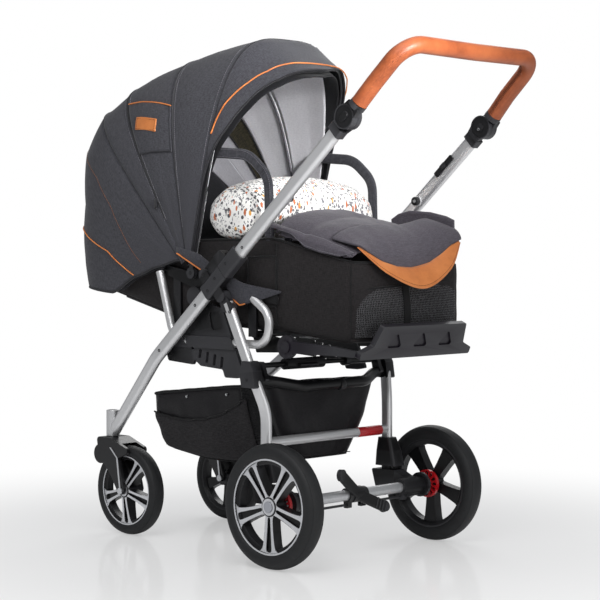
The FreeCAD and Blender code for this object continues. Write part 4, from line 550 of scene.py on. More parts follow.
rim_nylon = moulded_nylon("moulded_nylon_rim", "#0d0d0e", "#18181a", 0.36)
for name in both("rear", "front"):
    wheel, side = name.split("_")
    tyre = f"{wheel}_tyre_{side}"
    dress(foam_rubber(f"foam_rubber_{name}", middle_of(tyre)), tyre)
    dress(rim_nylon, f"{wheel}_rim_{side}")
dress(mottled("moulded_nylon_red", "#b5141c", "#cf1f28", 0.3, 80.0, detail=3.0), *both("brake_disc"))

# ---------------------------------------------------------------- hood
# A canopy of melange canvas sewn in panels over two turning bows and a fixed rear shell, with
# cognac piping, a zip behind the middle bow, a patch pocket and a pale lining inside.
hood_pin = Vector(pins["hood_middle_fold"]["pos_m"])
HOOD_HALF = 213.5
HOOD_FOOT = 30.0
BRIM, FRONT_BOW, MIDDLE_BOW, ZIP, REAR_SEAM, HEAD = 62.0, 77.5, 100.6, 121.7, 133.0, 198.0
CROWN = ((BRIM, 531.0), (FRONT_BOW, 563.0), (MIDDLE_BOW, 522.0), (ZIP, 535.0), (REAR_SEAM, 551.0),
         (145.0, 534.0), (158.0, 468.0), (172.0, 442.0), (HEAD, 405.0))
FULLNESS = ((BRIM, -12.0), (FRONT_BOW, -9.0), (MIDDLE_BOW, -7.0), (ZIP, -8.0), (REAR_SEAM, 8.0),
            (HEAD, 0.0))


def stepped(table, angle):
    """Value at this angle, in straight steps from seam to seam."""
    for (low, value), (high, following) in zip(table, table[1:]):
        if angle <= high:
            return value + (following - value) * max(0.0, angle - low) / (high - low)
    return table[-1][1]


def swell(angle):
    """How far the cloth stands out between its seams, in millimetres."""
    for (low, size), (high, _) in zip(FULLNESS, FULLNESS[1:]):
        if low <= angle <= high:
            return size * math.sin(math.pi * min(1.0, (angle - low) / (high - low))) ** 0.7
    return 0.0


def hood_place(angle, share, inside=0.0):
    """A point of the hood: angle about its pin, share from the left foot over to the right one."""
    crown = stepped(CROWN, angle)
    start = math.atan2(HOOD_FOOT, crown)
    turn = start + (math.pi - 2 * start) * share
    power = 3.0 + 3.0 * min(1.0, max(0.0, (angle - 60.0) / 100.0))
    flat, rise = math.cos(turn), math.sin(turn)
    fill = (abs(flat) ** power + abs(rise) ** power) ** (-1.0 / power)
    puff = swell(angle)
    fold = noise.noise(Vector((angle / 9.0, 3.0 * share, 1.7))) + 0.5 * noise.noise(
        Vector((angle / 4.0, 7.0 * share, 5.1)))
    low_down = 1.0 - min(1.0, rise * 1.6)
    stand = puff * rise + fold * (1.2 + 2.2 * low_down) - inside
    side = (HOOD_HALF - 1.1 * inside + 0.35 * abs(puff) + fold * 0.9) * flat * fill
    reach = (crown + stand) * rise * fill
    tilt = math.radians(angle)
    return Vector((side / 1000, hood_pin.y + math.cos(tilt) * reach / 1000,
                   hood_pin.z + math.sin(tilt) * reach / 1000))


HEM = ((-500, -30), (-270, -50), (-178, -8), (-107, 14), (-20, 34), (60, 40))


def hem_height(y):
    """Height of the lower hem above the pin at this distance along the pram, both in metres."""
    y = y * 1000
    if y <= HEM[0][0]:
        return HEM[0][1] / 1000
    for (low, low_z), (high, high_z) in zip(HEM, HEM[1:]):
        if y <= high:
            share = (y - low) / (high - low)
            ease = share * share * (3 - 2 * share)
            return (low_z + (high_z - low_z) * (0.5 * share + 0.5 * ease)) / 1000
    return HEM[-1][1] / 1000


def hem_angle(share, inside=0.0):
    """The angle at which the rear shell meets its hem."""
    low, high = REAR_SEAM, HEAD
    for _ in range(18):
        middle = (low + high) / 2
        place = hood_place(middle, share, inside) - hood_pin
        if place.z > hem_height(place.y):
            low = middle
        else:
            high = middle
    return low


def cut_cloth(name, place, counts, flat, inner, material, thickness, body, offset=-1.0):
    """A sheet through place(u, v), both from 0 to 1, with a cloth UV map in metres.

    counts are its quads across and down, flat its width and length, and inner a place on its inner
    side. Its thickness, in millimetres, goes inward at offset -1. Returns the piece and its area.
    """
    (across, down), (width, length) = counts, flat
    wide = across + 1
    faces = [(j * wide + i, j * wide + i + 1, (j + 1) * wide + i + 1, (j + 1) * wide + i)
             for j in range(down) for i in range(across)]
    mesh = bpy.data.meshes.new(name)
    points = [tuple(place(i / across, j / down)) for j in range(down + 1) for i in range(wide)]
    mesh.from_pydata(points, [], faces)
    uv = mesh.uv_layers.new(name="cloth")
    for loop in mesh.loops:
        row, column = divmod(loop.vertex_index, wide)
        uv.data[loop.index].uv = (column / across * width, row / down * length)
    if sum((face.center - inner).dot(face.normal) for face in mesh.polygons) < 0:
        mesh.flip_normals()
    mesh.shade_smooth()
    mesh.materials.append(material)
    piece = put(name, mesh)
    wall = piece.modifiers.new("thickness", "SOLIDIFY")
    wall.thickness = thickness / 1000
    wall.offset = offset
    if body:
        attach(piece, body)
    return piece, sum(face.area for face in mesh.polygons)


def woven(name, dark, light, thread_mm, uv=True, fuzz=0.12, rough=0.85):
    """Plain weave of melange yarn: light and dark fibres along warp and weft, over a fine check."""
    material, tree, shader = new_material(name)
    if uv:
        source = add(tree, "ShaderNodeUVMap", uv_map="cloth").outputs[0]
    else:
        source = add(tree, "ShaderNodeTexCoord").outputs["Object"]
    pitch = 1000.0 / thread_mm
    warp = add(tree, "ShaderNodeMapping", {0: source, "Scale": (pitch, pitch * 0.12, pitch)})
    weft = add(tree, "ShaderNodeMapping", {0: source, "Scale": (pitch * 0.12, pitch, pitch * 0.5)})
    warp_fibre, weft_fibre = [
        add(tree, "ShaderNodeTexNoise", {"Vector": way.outputs[0], "Scale": 1.0, "Detail": 2.0})
        for way in (warp, weft)]
    fibres = add(tree, "ShaderNodeMath", {0: warp_fibre.outputs[0], 1: weft_fibre.outputs[0]},
                 operation="ADD")
    spread = add(tree, "ShaderNodeMapRange", {"Value": fibres.outputs[0], 1: 0.72, 2: 1.28})
    clouds = add(tree, "ShaderNodeTexNoise", {"Vector": source, "Scale": 7.0, "Detail": 4.0})
    yarn = add(tree, "ShaderNodeMix", {0: spread.outputs[0], 6: colour(dark), 7: colour(light)},
               data_type="RGBA")
    fade = add(tree, "ShaderNodeMapRange", {"Value": clouds.outputs[0], 3: 0.86, 4: 1.12})
    tone = add(tree, "ShaderNodeVectorMath", {0: yarn.outputs[2], "Scale": fade.outputs[0]},
               operation="SCALE")
    bump = add(tree, "ShaderNodeBump", {
        "Height": fibres.outputs[0], "Strength": 0.35, "Distance": 0.0008})
    plug(tree, shader, {
        "Base Color": tone.outputs[0], "Roughness": rough, "Specular IOR Level": 0.2, "Sheen Weight": fuzz,
        "Sheen Roughness": 0.5, "Normal": bump.outputs[0]})
    return material


# Real yarn is about 0.5 mm; the fibres are drawn three times as coarse so that they show.
hood_canvas = woven("melange_canvas_charcoal", "#2c2c31", "#48484e", 1.6)
hood_lining = woven("lining_twill_pale_grey", "#dcdbe0", "#eeedf1", 1.6, fuzz=0.1)
black_facing = woven("facing_tape_black", "#1a1a1d", "#28282c", 1.4)
mesh_olive = woven("window_net_olive", "#1d1a10", "#4a4430", 2.2)
grey_lining = woven("lining_twill_grey", "#b6b5bb", "#cbcad0", 1.6, fuzz=0.1)
edge_tape = woven("binding_tape_charcoal", "#1d1d20", "#2f2f33", 1.2, uv=False)
grey_sleeve = woven("bow_sleeve_grey", "#4c4b50", "#66656a", 1.4, uv=False)
rust_thread = thread("polyester_thread_rust", "#8f5a3a")
rust_piping = leather("piping_cord_rust", "#d07a3c", "#b9652b", "#dd8c4d", 1.2)

# The peak reaches furthest over the crown, and hangs a little skew.
BRIM_EDGE = ((0.0, 78.6), (0.1, 78.2), (0.12, 77.3), (0.154, 74.6), (0.188, 71.0), (0.234, 68.0),
             (0.264, 66.6), (0.312, 64.2), (0.369, 62.9), (0.417, 62.3), (0.5, 62.8), (0.6, 66.0),
             (0.7, 70.0), (0.755, 71.6), (0.8, 74.0), (0.85, 76.5), (0.88, 77.4), (0.9, 78.2), (1.0, 78.6))
LINING_INSET = 20.0
WINDOW, WINDOW_END, GREY_END = 118.0, 126.5, 142.0
INSIDE_HOOD = at(0, -400, 800)
CLOTH_REACH = 0.4


def brim_angle(share):
    """Where the peak of the hood ends."""
    return stepped(BRIM_EDGE, share)


def hem_line(share):
    return hem_angle(share, 0.0)


def lining_hem(share):
    return hem_angle(share, LINING_INSET)


def hood_fits(piece, part):
    """Bakes a front or middle piece's place into its mesh, and puts a rear piece on the seat unit."""
    def spot(angle):
        tilt = math.radians(angle)
        return (0, hood_pin.y + math.cos(tilt) * CLOTH_REACH, hood_pin.z + math.sin(tilt) * CLOTH_REACH)

    if part == "front":
        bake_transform(piece)
    elif part == "middle":
        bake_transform(piece)
    else:
        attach(piece, "seat_unit")


def run_length(place, steps):
    """Length of the line place(0) to place(1), in metres."""
    return sum((place((i + 1) / steps) - place(i / steps)).length for i in range(steps))


def hood_shell(name, start, end, inside, material, thickness, down):
    """One panel of the hood, cut between two seams, each an angle or a function of the share."""
    def place(u, v):
        first = start(u) if callable(start) else start
        last = end(u) if callable(end) else end
        return hood_place(first + (last - first) * v, u, inside)

    flat = (run_length(lambda u: place(u, 0.5), 30), run_length(lambda v: place(0.5, v), 8))
    return (*cut_cloth(name, place, (110, down), flat, INSIDE_HOOD, material, thickness, None), flat)


HOOD_PANELS = (
    ("hood_cloth_front", "front", brim_angle, MIDDLE_BOW, 0.0, hood_canvas, "hood_panel_front"),
    ("hood_cloth_middle", "middle", MIDDLE_BOW, REAR_SEAM, 0.0, hood_canvas, "hood_panel_middle"),
    ("hood_cloth_rear", "rear", REAR_SEAM, hem_line, 0.0, hood_canvas, "hood_rear"),
    ("hood_facing", "front", brim_angle, FRONT_BOW + 0.5, LINING_INSET, black_facing, None),
    ("hood_lining_front", "front", FRONT_BOW + 0.5, MIDDLE_BOW, LINING_INSET, hood_lining, None),
    ("hood_lining_middle", "middle", MIDDLE_BOW, WINDOW, LINING_INSET, hood_lining, None),
    ("hood_window", "middle", WINDOW, WINDOW_END, LINING_INSET, mesh_olive, None),
    ("hood_lining_back", "middle", WINDOW_END, REAR_SEAM, LINING_INSET, grey_lining, None),
    ("hood_lining_rear", "rear", REAR_SEAM, GREY_END, LINING_INSET, grey_lining, None),
    ("hood_lining_head", "rear", GREY_END, lining_hem, LINING_INSET, black_facing, None))
for name, part, start, end, inside, material, node in HOOD_PANELS:
    thickness, down = (2.0, 34) if node else (1.0, 16)
    shell, area, (girth, depth) = hood_shell(name, start, end, inside, material, thickness, down)
    hood_fits(shell, part)
    if node:
        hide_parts(node)


def hood_line(places, inside, steps=150):
    """A line over the hood through (angle, share) places."""
    line = []
    for step in range(steps + 1):
        spot = step / steps * (len(places) - 1)
        index = min(int(spot), len(places) - 2)
        part = spot - index
        (a0, s0), (a1, s1) = places[index], places[index + 1]
        line.append(hood_place(a0 + (a1 - a0) * part, s0 + (s1 - s0) * part, inside))
    return line


def mirrored(places):
    """The same line continued to the right foot."""
    return places + [(angle, 1 - share) for angle, share in reversed(places)]


def over_hood(angle, start=0.0, inside=-0.4, steps=120):
    """A seam over the hood at one angle, from foot to foot."""
    return [hood_place(angle, start + (1 - 2 * start) * i / steps, inside) for i in range(steps + 1)]


def round_hood(angle_at, inside, lift=0.0, steps=150):
    """A line round the hood at an angle that changes with the share."""
    return [hood_place(angle_at(i / steps) + lift, i / steps, inside) for i in range(steps + 1)]


BRIM_PIPE = mirrored([(77.9, 0.163), (77.0, 0.18), (75.3, 0.205), (73.1, 0.229), (70.8, 0.259),
                      (68.4, 0.305), (67.0, 0.365), (66.2, 0.43)])
REAR_PIPE = mirrored([(182.0, 0.115), (176.0, 0.14), (170.0, 0.17), (166.0, 0.24), (164.0, 0.32),
                      (163.0, 0.45)])
FAINT_ROW = mirrored([(171.5, 0.095), (150.0, 0.165), (145.5, 0.204), (144.5, 0.267), (144.0, 0.36),
                      (144.0, 0.45)])
# Piping, bindings round the free edge and the hem, seams over the bows, the bow's sleeve and the zip. The
# seams over the front and middle bows are dark welts that also paint the shade of the fold at each seam.
for name, part, finish, radius, *lines in (
        ("brim_piping", "front", rust_piping, 1.7, hood_line(BRIM_PIPE, -1.2)),
        ("rear_piping", "rear", rust_piping, 1.5, hood_line(REAR_PIPE, -1.0)),
        ("brim_binding", "front", edge_tape, 2.0, round_hood(brim_angle, 1.0)),
        ("brim_roll", "front", black_facing, 3.0, round_hood(brim_angle, 7.0, lift=0.8)),
        ("hood_hem_binding", "rear", edge_tape, 3.0, round_hood(hem_line, 1.0)),
        # Dark welts over the front and middle bows: the seam, and painted shade of its fold.
        ("front_bow_seam", "front", edge_tape, 1.0, over_hood(FRONT_BOW + 0.6, 0.1)),
        ("middle_bow_seam", "middle", edge_tape, 1.1, over_hood(MIDDLE_BOW + 0.3)),
        ("rear_seam", "rear", edge_tape, 0.9, over_hood(REAR_SEAM)),
        ("bow_sleeve", "middle", grey_sleeve, 3.4, over_hood(MIDDLE_BOW + 1.0, 0.06, LINING_INSET + 1.5)),
        ("window_binding", "middle", black_facing, 2.0, over_hood(WINDOW, 0.04, LINING_INSET + 1.0),
         over_hood(WINDOW_END, 0.04, LINING_INSET + 1.0)),
        ("hood_zip", "middle", black_nylon, 1.5, over_hood(ZIP - 0.25, 0.07), over_hood(ZIP + 0.25, 0.07))):
    hood_fits(welts(name, None, finish, radius, *lines), part)
for name, part, finish, *lines in (
        ("rear_contrast_stitches", "rear", rust_thread, hood_line(FAINT_ROW, -0.4)),
        ("bow_stitches", "front", grey_thread, over_hood(FRONT_BOW + 2.2, 0.12),
         over_hood(MIDDLE_BOW - 1.2, 0.05)),
        ("zip_stitches", "middle", grey_thread, over_hood(ZIP - 1.1, 0.07), over_hood(ZIP + 1.1, 0.07))):
    hood_fits(stitches(name, None, finish, *lines), part)


def even_normals(mesh):
    """Makes neighbouring faces agree; those of a closed skin face outward."""
    work = bmesh.new()
    work.from_mesh(mesh)
    bmesh.ops.recalc_face_normals(work, faces=work.faces)
    work.to_mesh(mesh)
    work.free()


def ringed(name, rings, material, body, closed=True):
    """A skin through rings of places, all with the same count, capped at both ends where closed."""
    count = len(rings[0])
    faces = []
    for start in range(0, (len(rings) - 1) * count, count):
        for i in range(count):
            after = (i + 1) % count
            faces.append((start + i, start + after, start + count + after, start + count + i))
    if closed:
        faces.append(tuple(range(count))[::-1])
        faces.append(tuple((len(rings) - 1) * count + i for i in range(count)))
    mesh = bpy.data.meshes.new(name)
    mesh.from_pydata([tuple(point) for ring_ in rings for point in ring_], [], faces)
    uv = mesh.uv_layers.new(name="cloth")
    reach = [0.0]
    for one, two in zip(rings, rings[1:]):
        reach.append(reach[-1] + (sum(two, Vector()) - sum(one, Vector())).length / count)
    widest = rings[len(rings) // 2]
    girth = sum((widest[i] - widest[i - 1]).length for i in range(count))
    for face in mesh.polygons:
        whole = {mesh.loops[i].vertex_index % count for i in face.loop_indices} >= {0, count - 1}
        for loop in face.loop_indices:
            row, column = divmod(mesh.loops[loop].vertex_index, count)
            if whole and column == 0 and len(face.vertices) == 4:
                column = count
            uv.data[loop].uv = (column / count * girth, reach[row])
    even_normals(mesh)
    mesh.shade_smooth()
    mesh.materials.append(material)
    piece = put(name, mesh)
    if body:
        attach(piece, body)
    return piece


def hoop(x, y, z, reach_y, reach_z, count):
    """A ring of places round a line that runs across the pram, in metres."""
    turns = [2 * math.pi * i / count for i in range(count)]
    return [Vector((x, y + reach_y * math.cos(turn), z + reach_z * math.sin(turn))) for turn in turns]


def webbing(name, line, width, thick, wide_way, material, body, edge=3):
    """A flat strap with soft edges along a line; wide_way is the direction across it."""
    rings = []
    corners = 4 * edge + 4
    for index, place in enumerate(line):
        along = (line[min(index + 1, len(line) - 1)] - line[max(index - 1, 0)]).normalized()
        flat = wide_way - along * along.dot(wide_way)
        flat.normalize()
        stand = along.cross(flat).normalized()
        ring_ = []
        for step in range(corners):
            turn = 2 * math.pi * (step + 0.5) / corners
            side = math.copysign(abs(math.cos(turn)) ** 0.45, math.cos(turn))
            rise = math.copysign(abs(math.sin(turn)) ** 0.8, math.sin(turn))
            ring_.append(place + flat * side * width / 2000 + stand * rise * thick / 2000)
        rings.append(ring_)
    return ringed(name, rings, material, body)


# A guard of tape covers each end of the zip.
for side, _ in SIDES:
    shares = [0.102 - 0.0016 * i for i in range(11)]
    line = [hood_place(ZIP + 0.2 + 0.44 * i, share if side == "left" else 1 - share, -3.0)
            for i, share in enumerate(shares)]
    across_zip = (line[0] - hood_pin).cross(line[-1] - line[0]).normalized()
    hood_fits(webbing("zip_guard_" + side, line[:8], 17.0, 4.0, -across_zip, edge_tape, None), "middle")

# The patch pocket between zip and middle bow on the left, with a piped mouth, a hemmed slit and a
# bare leather patch. Corners are (angle, share): top at u = 0 and 1, then low at u = 0 and 1.
POCKET = ((120.6, 0.247), (101.0, 0.212), (121.4, 0.166), (101.4, 0.151))
PATCH = ((117.3, 0.2145), (107.6, 0.1985), (119.3, 0.1985), (109.2, 0.1825))
PATCH_ROW = ((0.06, 0.1), (0.94, 0.1), (0.94, 0.9), (0.06, 0.9), (0.06, 0.1))


def on_hood(corners, u, v, stand):
    """A place on the hood between four corners, this far in from its outer face."""
    (a0, s0), (a1, s1), (a2, s2), (a3, s3) = corners
    top, low = (a0 + (a1 - a0) * u, s0 + (s1 - s0) * u), (a2 + (a3 - a2) * u, s2 + (s3 - s2) * u)
    return hood_place(low[0] + (top[0] - low[0]) * v, low[1] + (top[1] - low[1]) * v, stand)


pocket, pocket_area = cut_cloth(
    "hood_pocket", lambda u, v: on_hood(POCKET, u, v, -1.8 - 1.6 * math.sin(math.pi * u)), (30, 20),
    (0.17, 0.11), INSIDE_HOOD, hood_canvas, 1.6, None)
hood_fits(pocket, "middle")
mouth = [on_hood(POCKET, i / 30, 1.0, -3.2) for i in range(31)]
slit = [on_hood(POCKET, i / 30, 0.0, -2.4) for i in range(31)]
slit_end = [on_hood(POCKET, 0.97, i / 20, -2.2) for i in range(21)]
hood_fits(welts("pocket_piping", None, rust_piping, 1.6, mouth), "middle")
hood_fits(welts("pocket_slit", None, edge_tape, 0.8, slit, slit_end), "middle")

patch, _ = cut_cloth("leather_patch", lambda u, v: on_hood(PATCH, u, v, -4.6), (14, 8), (0.07, 0.03),
                     INSIDE_HOOD, trim_leather, 1.6, None)
patch_edge = patch.modifiers.new("edge", "BEVEL")
patch_edge.width = 0.0005
hood_fits(patch, "middle")
patch_row = [on_hood(PATCH, u, v, -4.9) for u, v in PATCH_ROW]
hood_fits(stitches("patch_stitches", None, brown_thread, patch_row), "middle")

# ---------------------------------------------------------------- wheel faces
# The spokes' turned bright faces: a thin ring, and five double spokes that flare into it, each with
# a rounded black channel along its middle. Diamond-turned, so they keep fine circular tool lines.
turned_face = mottled("turned_aluminium_face", "#c9cace", "#e4e5e8", 0.3, 500.0, metal=0.55,
                      bump=(0.08, 0.0003))

spoke_tree, given = node_tree("repeat_about_hub", {"Count": "Int", "Hub": "Vector", "Finish": "Material"})
one = add(spoke_tree, "GeometryNodeGeometryToInstance", {0: given.outputs[0]})
copies = add(spoke_tree, "GeometryNodeDuplicateElements", {
    "Geometry": one.outputs[0], "Amount": given.outputs["Count"]}, domain="INSTANCE")
pitch = add(spoke_tree, "ShaderNodeMath", {0: 2 * math.pi, 1: given.outputs["Count"]}, operation="DIVIDE")
turn = add(spoke_tree, "ShaderNodeMath", {0: copies.outputs["Duplicate Index"], 1: pitch.outputs[0]},
           operation="MULTIPLY")
about = add(spoke_tree, "ShaderNodeCombineXYZ", {0: turn.outputs[0]})
turned = add(spoke_tree, "GeometryNodeRotateInstances", {
    "Instances": copies.outputs[0], "Rotation": about.outputs[0], "Pivot Point": given.outputs["Hub"],
    "Local Space": False})
end_tree(spoke_tree, given, turned.outputs[0])

# Half widths of a spoke and of its channel, by share of the way from hub to ring, on the rear rim.
SPOKE_HALF = ((0.0, 14.0), (0.06, 11.4), (0.15, 10.8), (0.35, 11.8), (0.6, 14.0), (0.78, 16.8), (0.9, 20.2),
              (0.96, 23.6), (1.0, 29.0))
CHANNEL_HALF = ((0.0, 0.0), (0.07, 0.0), (0.085, 2.6), (0.12, 4.0), (0.35, 5.2), (0.6, 6.9), (0.85, 8.4),
                (0.92, 8.2), (0.95, 7.0), (0.967, 4.2), (0.972, 0.0), (1.0, 0.0))
REAR_RING, FRONT_RING = 105.6, 85.0
FACE_STAND, FACE_DEPTH, RING_TOP, RING_ROOT = 0.5, 1.6, 0.45, -1.0


def wheel_face(name, body, hub, ring_radius, cap_radius, hub_stand, ring_stand, lip_stand, boss_stand,
               finish):
    """The bright face of one wheel, facing away from the pram."""
    size = ring_radius / REAR_RING
    way = math.copysign(1.0, hub.x)
    lip = ring_radius * 0.035
    first, last = cap_radius + 3.0 * size, ring_radius - lip * 0.9

    def spot(radius, side, deeper):
        share = min(1.0, max(0.0, (radius - 0.18 * ring_radius) / (0.72 * ring_radius)))
        stand = hub_stand + (ring_stand - hub_stand) * share + FACE_STAND - deeper
        return Vector((hub.x + way * stand / 1000, hub.y + side / 1000, hub.z - radius / 1000))

    shares = sorted({key for key, _ in SPOKE_HALF + CHANNEL_HALF} | {i / 30 for i in range(31)})
    places, faces = [], []
    for share in shares:
        radius = first + (last - first) * share
        outer, inner = stepped(SPOKE_HALF, share) * size, stepped(CHANNEL_HALF, share) * size
        for side in (-outer, -inner, inner, outer):
            drop = radius - math.sqrt(max(radius * radius - side * side, 0.0)) if share > 0.9 else 0.0
            places += [spot(radius - drop, side, deeper) for deeper in (0.0, FACE_DEPTH)]
    for row in range(len(shares) - 1):
        for a, b in ((row * 8, row * 8 + 2), (row * 8 + 4, row * 8 + 6)):
            faces += [(a, b, b + 8, a + 8), (a + 1, a + 9, b + 9, b + 1), (a, a + 8, a + 9, a + 1),
                      (b, b + 1, b + 9, b + 8)]
    mesh = bpy.data.meshes.new(name)
    mesh.from_pydata([tuple(place) for place in places], [], faces)
    even_normals(mesh)
    spokes = grow(name + "_spokes", body, spoke_tree, mesh, Count=5, Hub=tuple(hub), Finish=finish)
    spokes.data.shade_flat()

    for label, inner, outer, stand in (("_ring", ring_radius - lip, ring_radius - 0.3, lip_stand),
                                       ("_boss", cap_radius - 1.0, cap_radius + 6.0 * size, boss_stand)):
        rings = [hoop(hub.x + way * (stand + rise) / 1000, hub.y, hub.z, radius / 1000, radius / 1000, 96)
                 for radius, rise in ((inner, RING_ROOT), (inner, RING_TOP), (outer, RING_TOP),
                                      (outer, RING_ROOT), (inner, RING_ROOT))]
        ringed(name + label, rings, finish, body, closed=False).data.shade_flat()


# Ring and hub cap radius of each wheel, then how far hub, ring, lip and boss stand off its middle.
for side, _ in SIDES:
    for wheel, *measures in (("rear", REAR_RING, 12.5, 14.6, 15.1, 18.8, 16.5),
                             ("front", FRONT_RING, 9.0, 21.2, 12.7, 15.6, 22.9)):
        pin = Vector(pins[f"{wheel}_wheel_spin_{side}"]["pos_m"])
        hub = Vector((middle_of(f"{wheel}_tyre_{side}").x, pin.y, pin.z))
        wheel_face(f"{wheel}_wheel_face_{side}", f"{wheel}_wheel_{side}", hub, *measures, turned_face)

# A domed grey cap closes each rear hub: radius and stand off the wheel's middle.
CAP_PROFILE = ((12.4, 17.0), (12.4, 18.9), (11.6, 19.5), (8.0, 19.9), (0.6, 20.0))
cap_grey = mottled("lacquered_nylon_silver_grey", "#9b9da5", "#b6b8bf", 0.35, 1400.0, metal=0.3)
for side, sign in SIDES:
    pin = Vector(pins["rear_wheel_spin_" + side]["pos_m"])
    outboard = middle_of("rear_tyre_" + side).x
    rings = [hoop(outboard + sign * stand / 1000, pin.y, pin.z, radius / 1000, radius / 1000, 48)
             for radius, stand in CAP_PROFILE]
    ringed("hub_cap_" + side, rings, cap_grey, "rear_wheel_" + side)

# ---------------------------------------------------------------- fork, axle and bar trim
# A painted highlight on the forks: a bright strip outside each arm stands in for the arm's highlight.
# Black clamp collars on the axle, a red sleeve on the cross bar. Where one CAD piece shows two finishes,
# as on the axle, its material changes at the real piece's edge.


def two_finish(name, outside, inside_finish, parts, mirrored=True):
    """One finish, and another inside the boxes in parts; each finish is (colour, metallic)."""
    material, tree, shader = new_material(name)
    coords = add(tree, "ShaderNodeTexCoord")
    place = add(tree, "ShaderNodeSeparateXYZ", {0: coords.outputs["Object"]})
    across = add(tree, "ShaderNodeMath", {0: place.outputs[0]}, operation="ABSOLUTE")
    axes = (across.outputs[0] if mirrored else place.outputs[0], place.outputs[1], place.outputs[2])
    inside_any = None
    for low, high in parts:
        inside = None
        for axis, start, end in zip(axes, low, high):
            near = add(tree, "ShaderNodeMath", {0: axis, 1: (start + end) / 2, 2: (end - start) / 2},
                       operation="COMPARE")
            inside = near if inside is None else add(
                tree, "ShaderNodeMath", {0: inside.outputs[0], 1: near.outputs[0]}, operation="MULTIPLY")
        inside_any = inside if inside_any is None else add(
            tree, "ShaderNodeMath", {0: inside_any.outputs[0], 1: inside.outputs[0]}, operation="MAXIMUM")
    flow = add(tree, "ShaderNodeTexNoise", {
        "Vector": coords.outputs["Object"], "Scale": 220.0, "Detail": 3.0})
    grain = add(tree, "ShaderNodeMapRange", {"Value": flow.outputs[0], 3: 0.85, 4: 1.15})
    base = add(tree, "ShaderNodeMix", {
        0: inside_any.outputs[0], 6: colour(outside[0]), 7: colour(inside_finish[0])}, data_type="RGBA")
    tone = add(tree, "ShaderNodeVectorMath", {0: base.outputs[2], "Scale": grain.outputs[0]},
               operation="SCALE")
    metal = add(tree, "ShaderNodeMapRange", {
        "Value": inside_any.outputs[0], 3: outside[1], 4: inside_finish[1]})
    bump = add(tree, "ShaderNodeBump", {"Height": flow.outputs[0], "Strength": 0.15, "Distance": 0.0004})
    plug(tree, shader, {"Base Color": tone.outputs[0], "Roughness": 0.38, "Metallic": metal.outputs[0],
                        "Normal": bump.outputs[0]})
    return material


# Boxes in metres, open along Y: the painted highlight outside the fork's arms, and two collars about the
# axle.
FORK_X, FORK_HIGHLIGHT_INSET, OPEN = 0.169, 0.0333, 9
fork_low, fork_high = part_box("caster_fork_left")
highlight_low, highlight_high = fork_low.z - 0.01, fork_high.z - 0.02
PAINTED_HIGHLIGHT_BOXES = [((FORK_X + FORK_HIGHLIGHT_INSET, -OPEN, highlight_low), (FORK_X + 0.1, OPEN, highlight_high)),
          ((FORK_X - 0.1, -OPEN, highlight_low), (FORK_X - FORK_HIGHLIGHT_INSET, OPEN, highlight_high))]
COLLARS = [((low, -OPEN, -OPEN), (high, OPEN, OPEN))
           for low, high in ((-0.0233, -0.0093), (0.0253, 0.0393))]
# The fork's bright metal strip is a painted highlight on its black nylon arms.
dress(two_finish("fork_nylon_and_painted_highlight", ("#151517", 0.0), ("#d4d5d8", 0.7), PAINTED_HIGHLIGHT_BOXES),
      *both("caster_fork"))
dress(two_finish("axle_aluminium_and_collars", ("#d0d1d3", 0.75), ("#161618", 0.0), COLLARS,
                 mirrored=False), "axle_tube")
sleeve_red = mottled("vinyl_sleeve_red", "#b31a20", "#cc252b", 0.4, 150.0)
bar_low, bar_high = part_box("rear_crossbar")
bar_middle, bar_half = (bar_low + bar_high) / 2, (bar_high - bar_low) / 2
SLEEVE_PROFILE = ((-98, -1.0), (-98.5, 0.7), (-180.5, 0.7), (-181, -1.0))
sleeve_rings = [hoop(x / 1000, bar_middle.y, bar_middle.z, bar_half.y + wall / 1000,
                     bar_half.z + wall / 1000, 40) for x, wall in SLEEVE_PROFILE]
ringed("crossbar_sleeve", sleeve_rings, sleeve_red, "rear_frame", closed=False)

# Rubber studs where the seat's arms rest on the inner side of each push tube, with a pale pin. Their
# profiles are distance from the middle plane in millimetres and share of the radius in metres.
STUD_Y, STUD_Z = 0.2145, 0.8133
STUDS = (("stud_", black_nylon, 0.0104, ((212.5, 0.9), (213.4, 1.0), (225.0, 1.0))),
         ("stud_pin_", zinc, 0.0042, ((211.6, 0.7), (212.0, 1.0), (213.5, 1.0))))
for side, sign in SIDES:
    for label, finish, radius, profile in STUDS:
        rings = [hoop(sign * x / 1000, STUD_Y, STUD_Z, radius * share, radius * share, 36)
                 for x, share in profile]
        ringed(label + side, rings, finish, "push_frame")
# ---------------------------------------------------------------- carry bag
# A soft carrycot body of near-black melange canvas over foam board. Its walls bulge between seams,
# the rim and corners are bound with tape, and the foot end carries a net pocket.
BAG_HALF, BAG_HEAD, BAG_FOOT = 183.0, -640.0, 146.0
BAG_BASE = ((-640, 600), (-414, 543), (-121, 524), (131, 499), (146, 506))
BAG_RIM = ((-646, 684), (-397, 720), (-89, 724), (40, 697), (148, 671))
bag_canvas = woven("melange_canvas_black", "#171516", "#2c292a", 1.5, fuzz=0.06)
binding = woven("binding_tape_black", "#0c0c0d", "#19191b", 1.0, uv=False)
# The foot pocket's net is black; its strands are painted light grey as a painted highlight on them.
foot_net_painted_highlight = woven("pocket_net_painted_highlight", "#3c3c3e", "#77777a", 1.2)


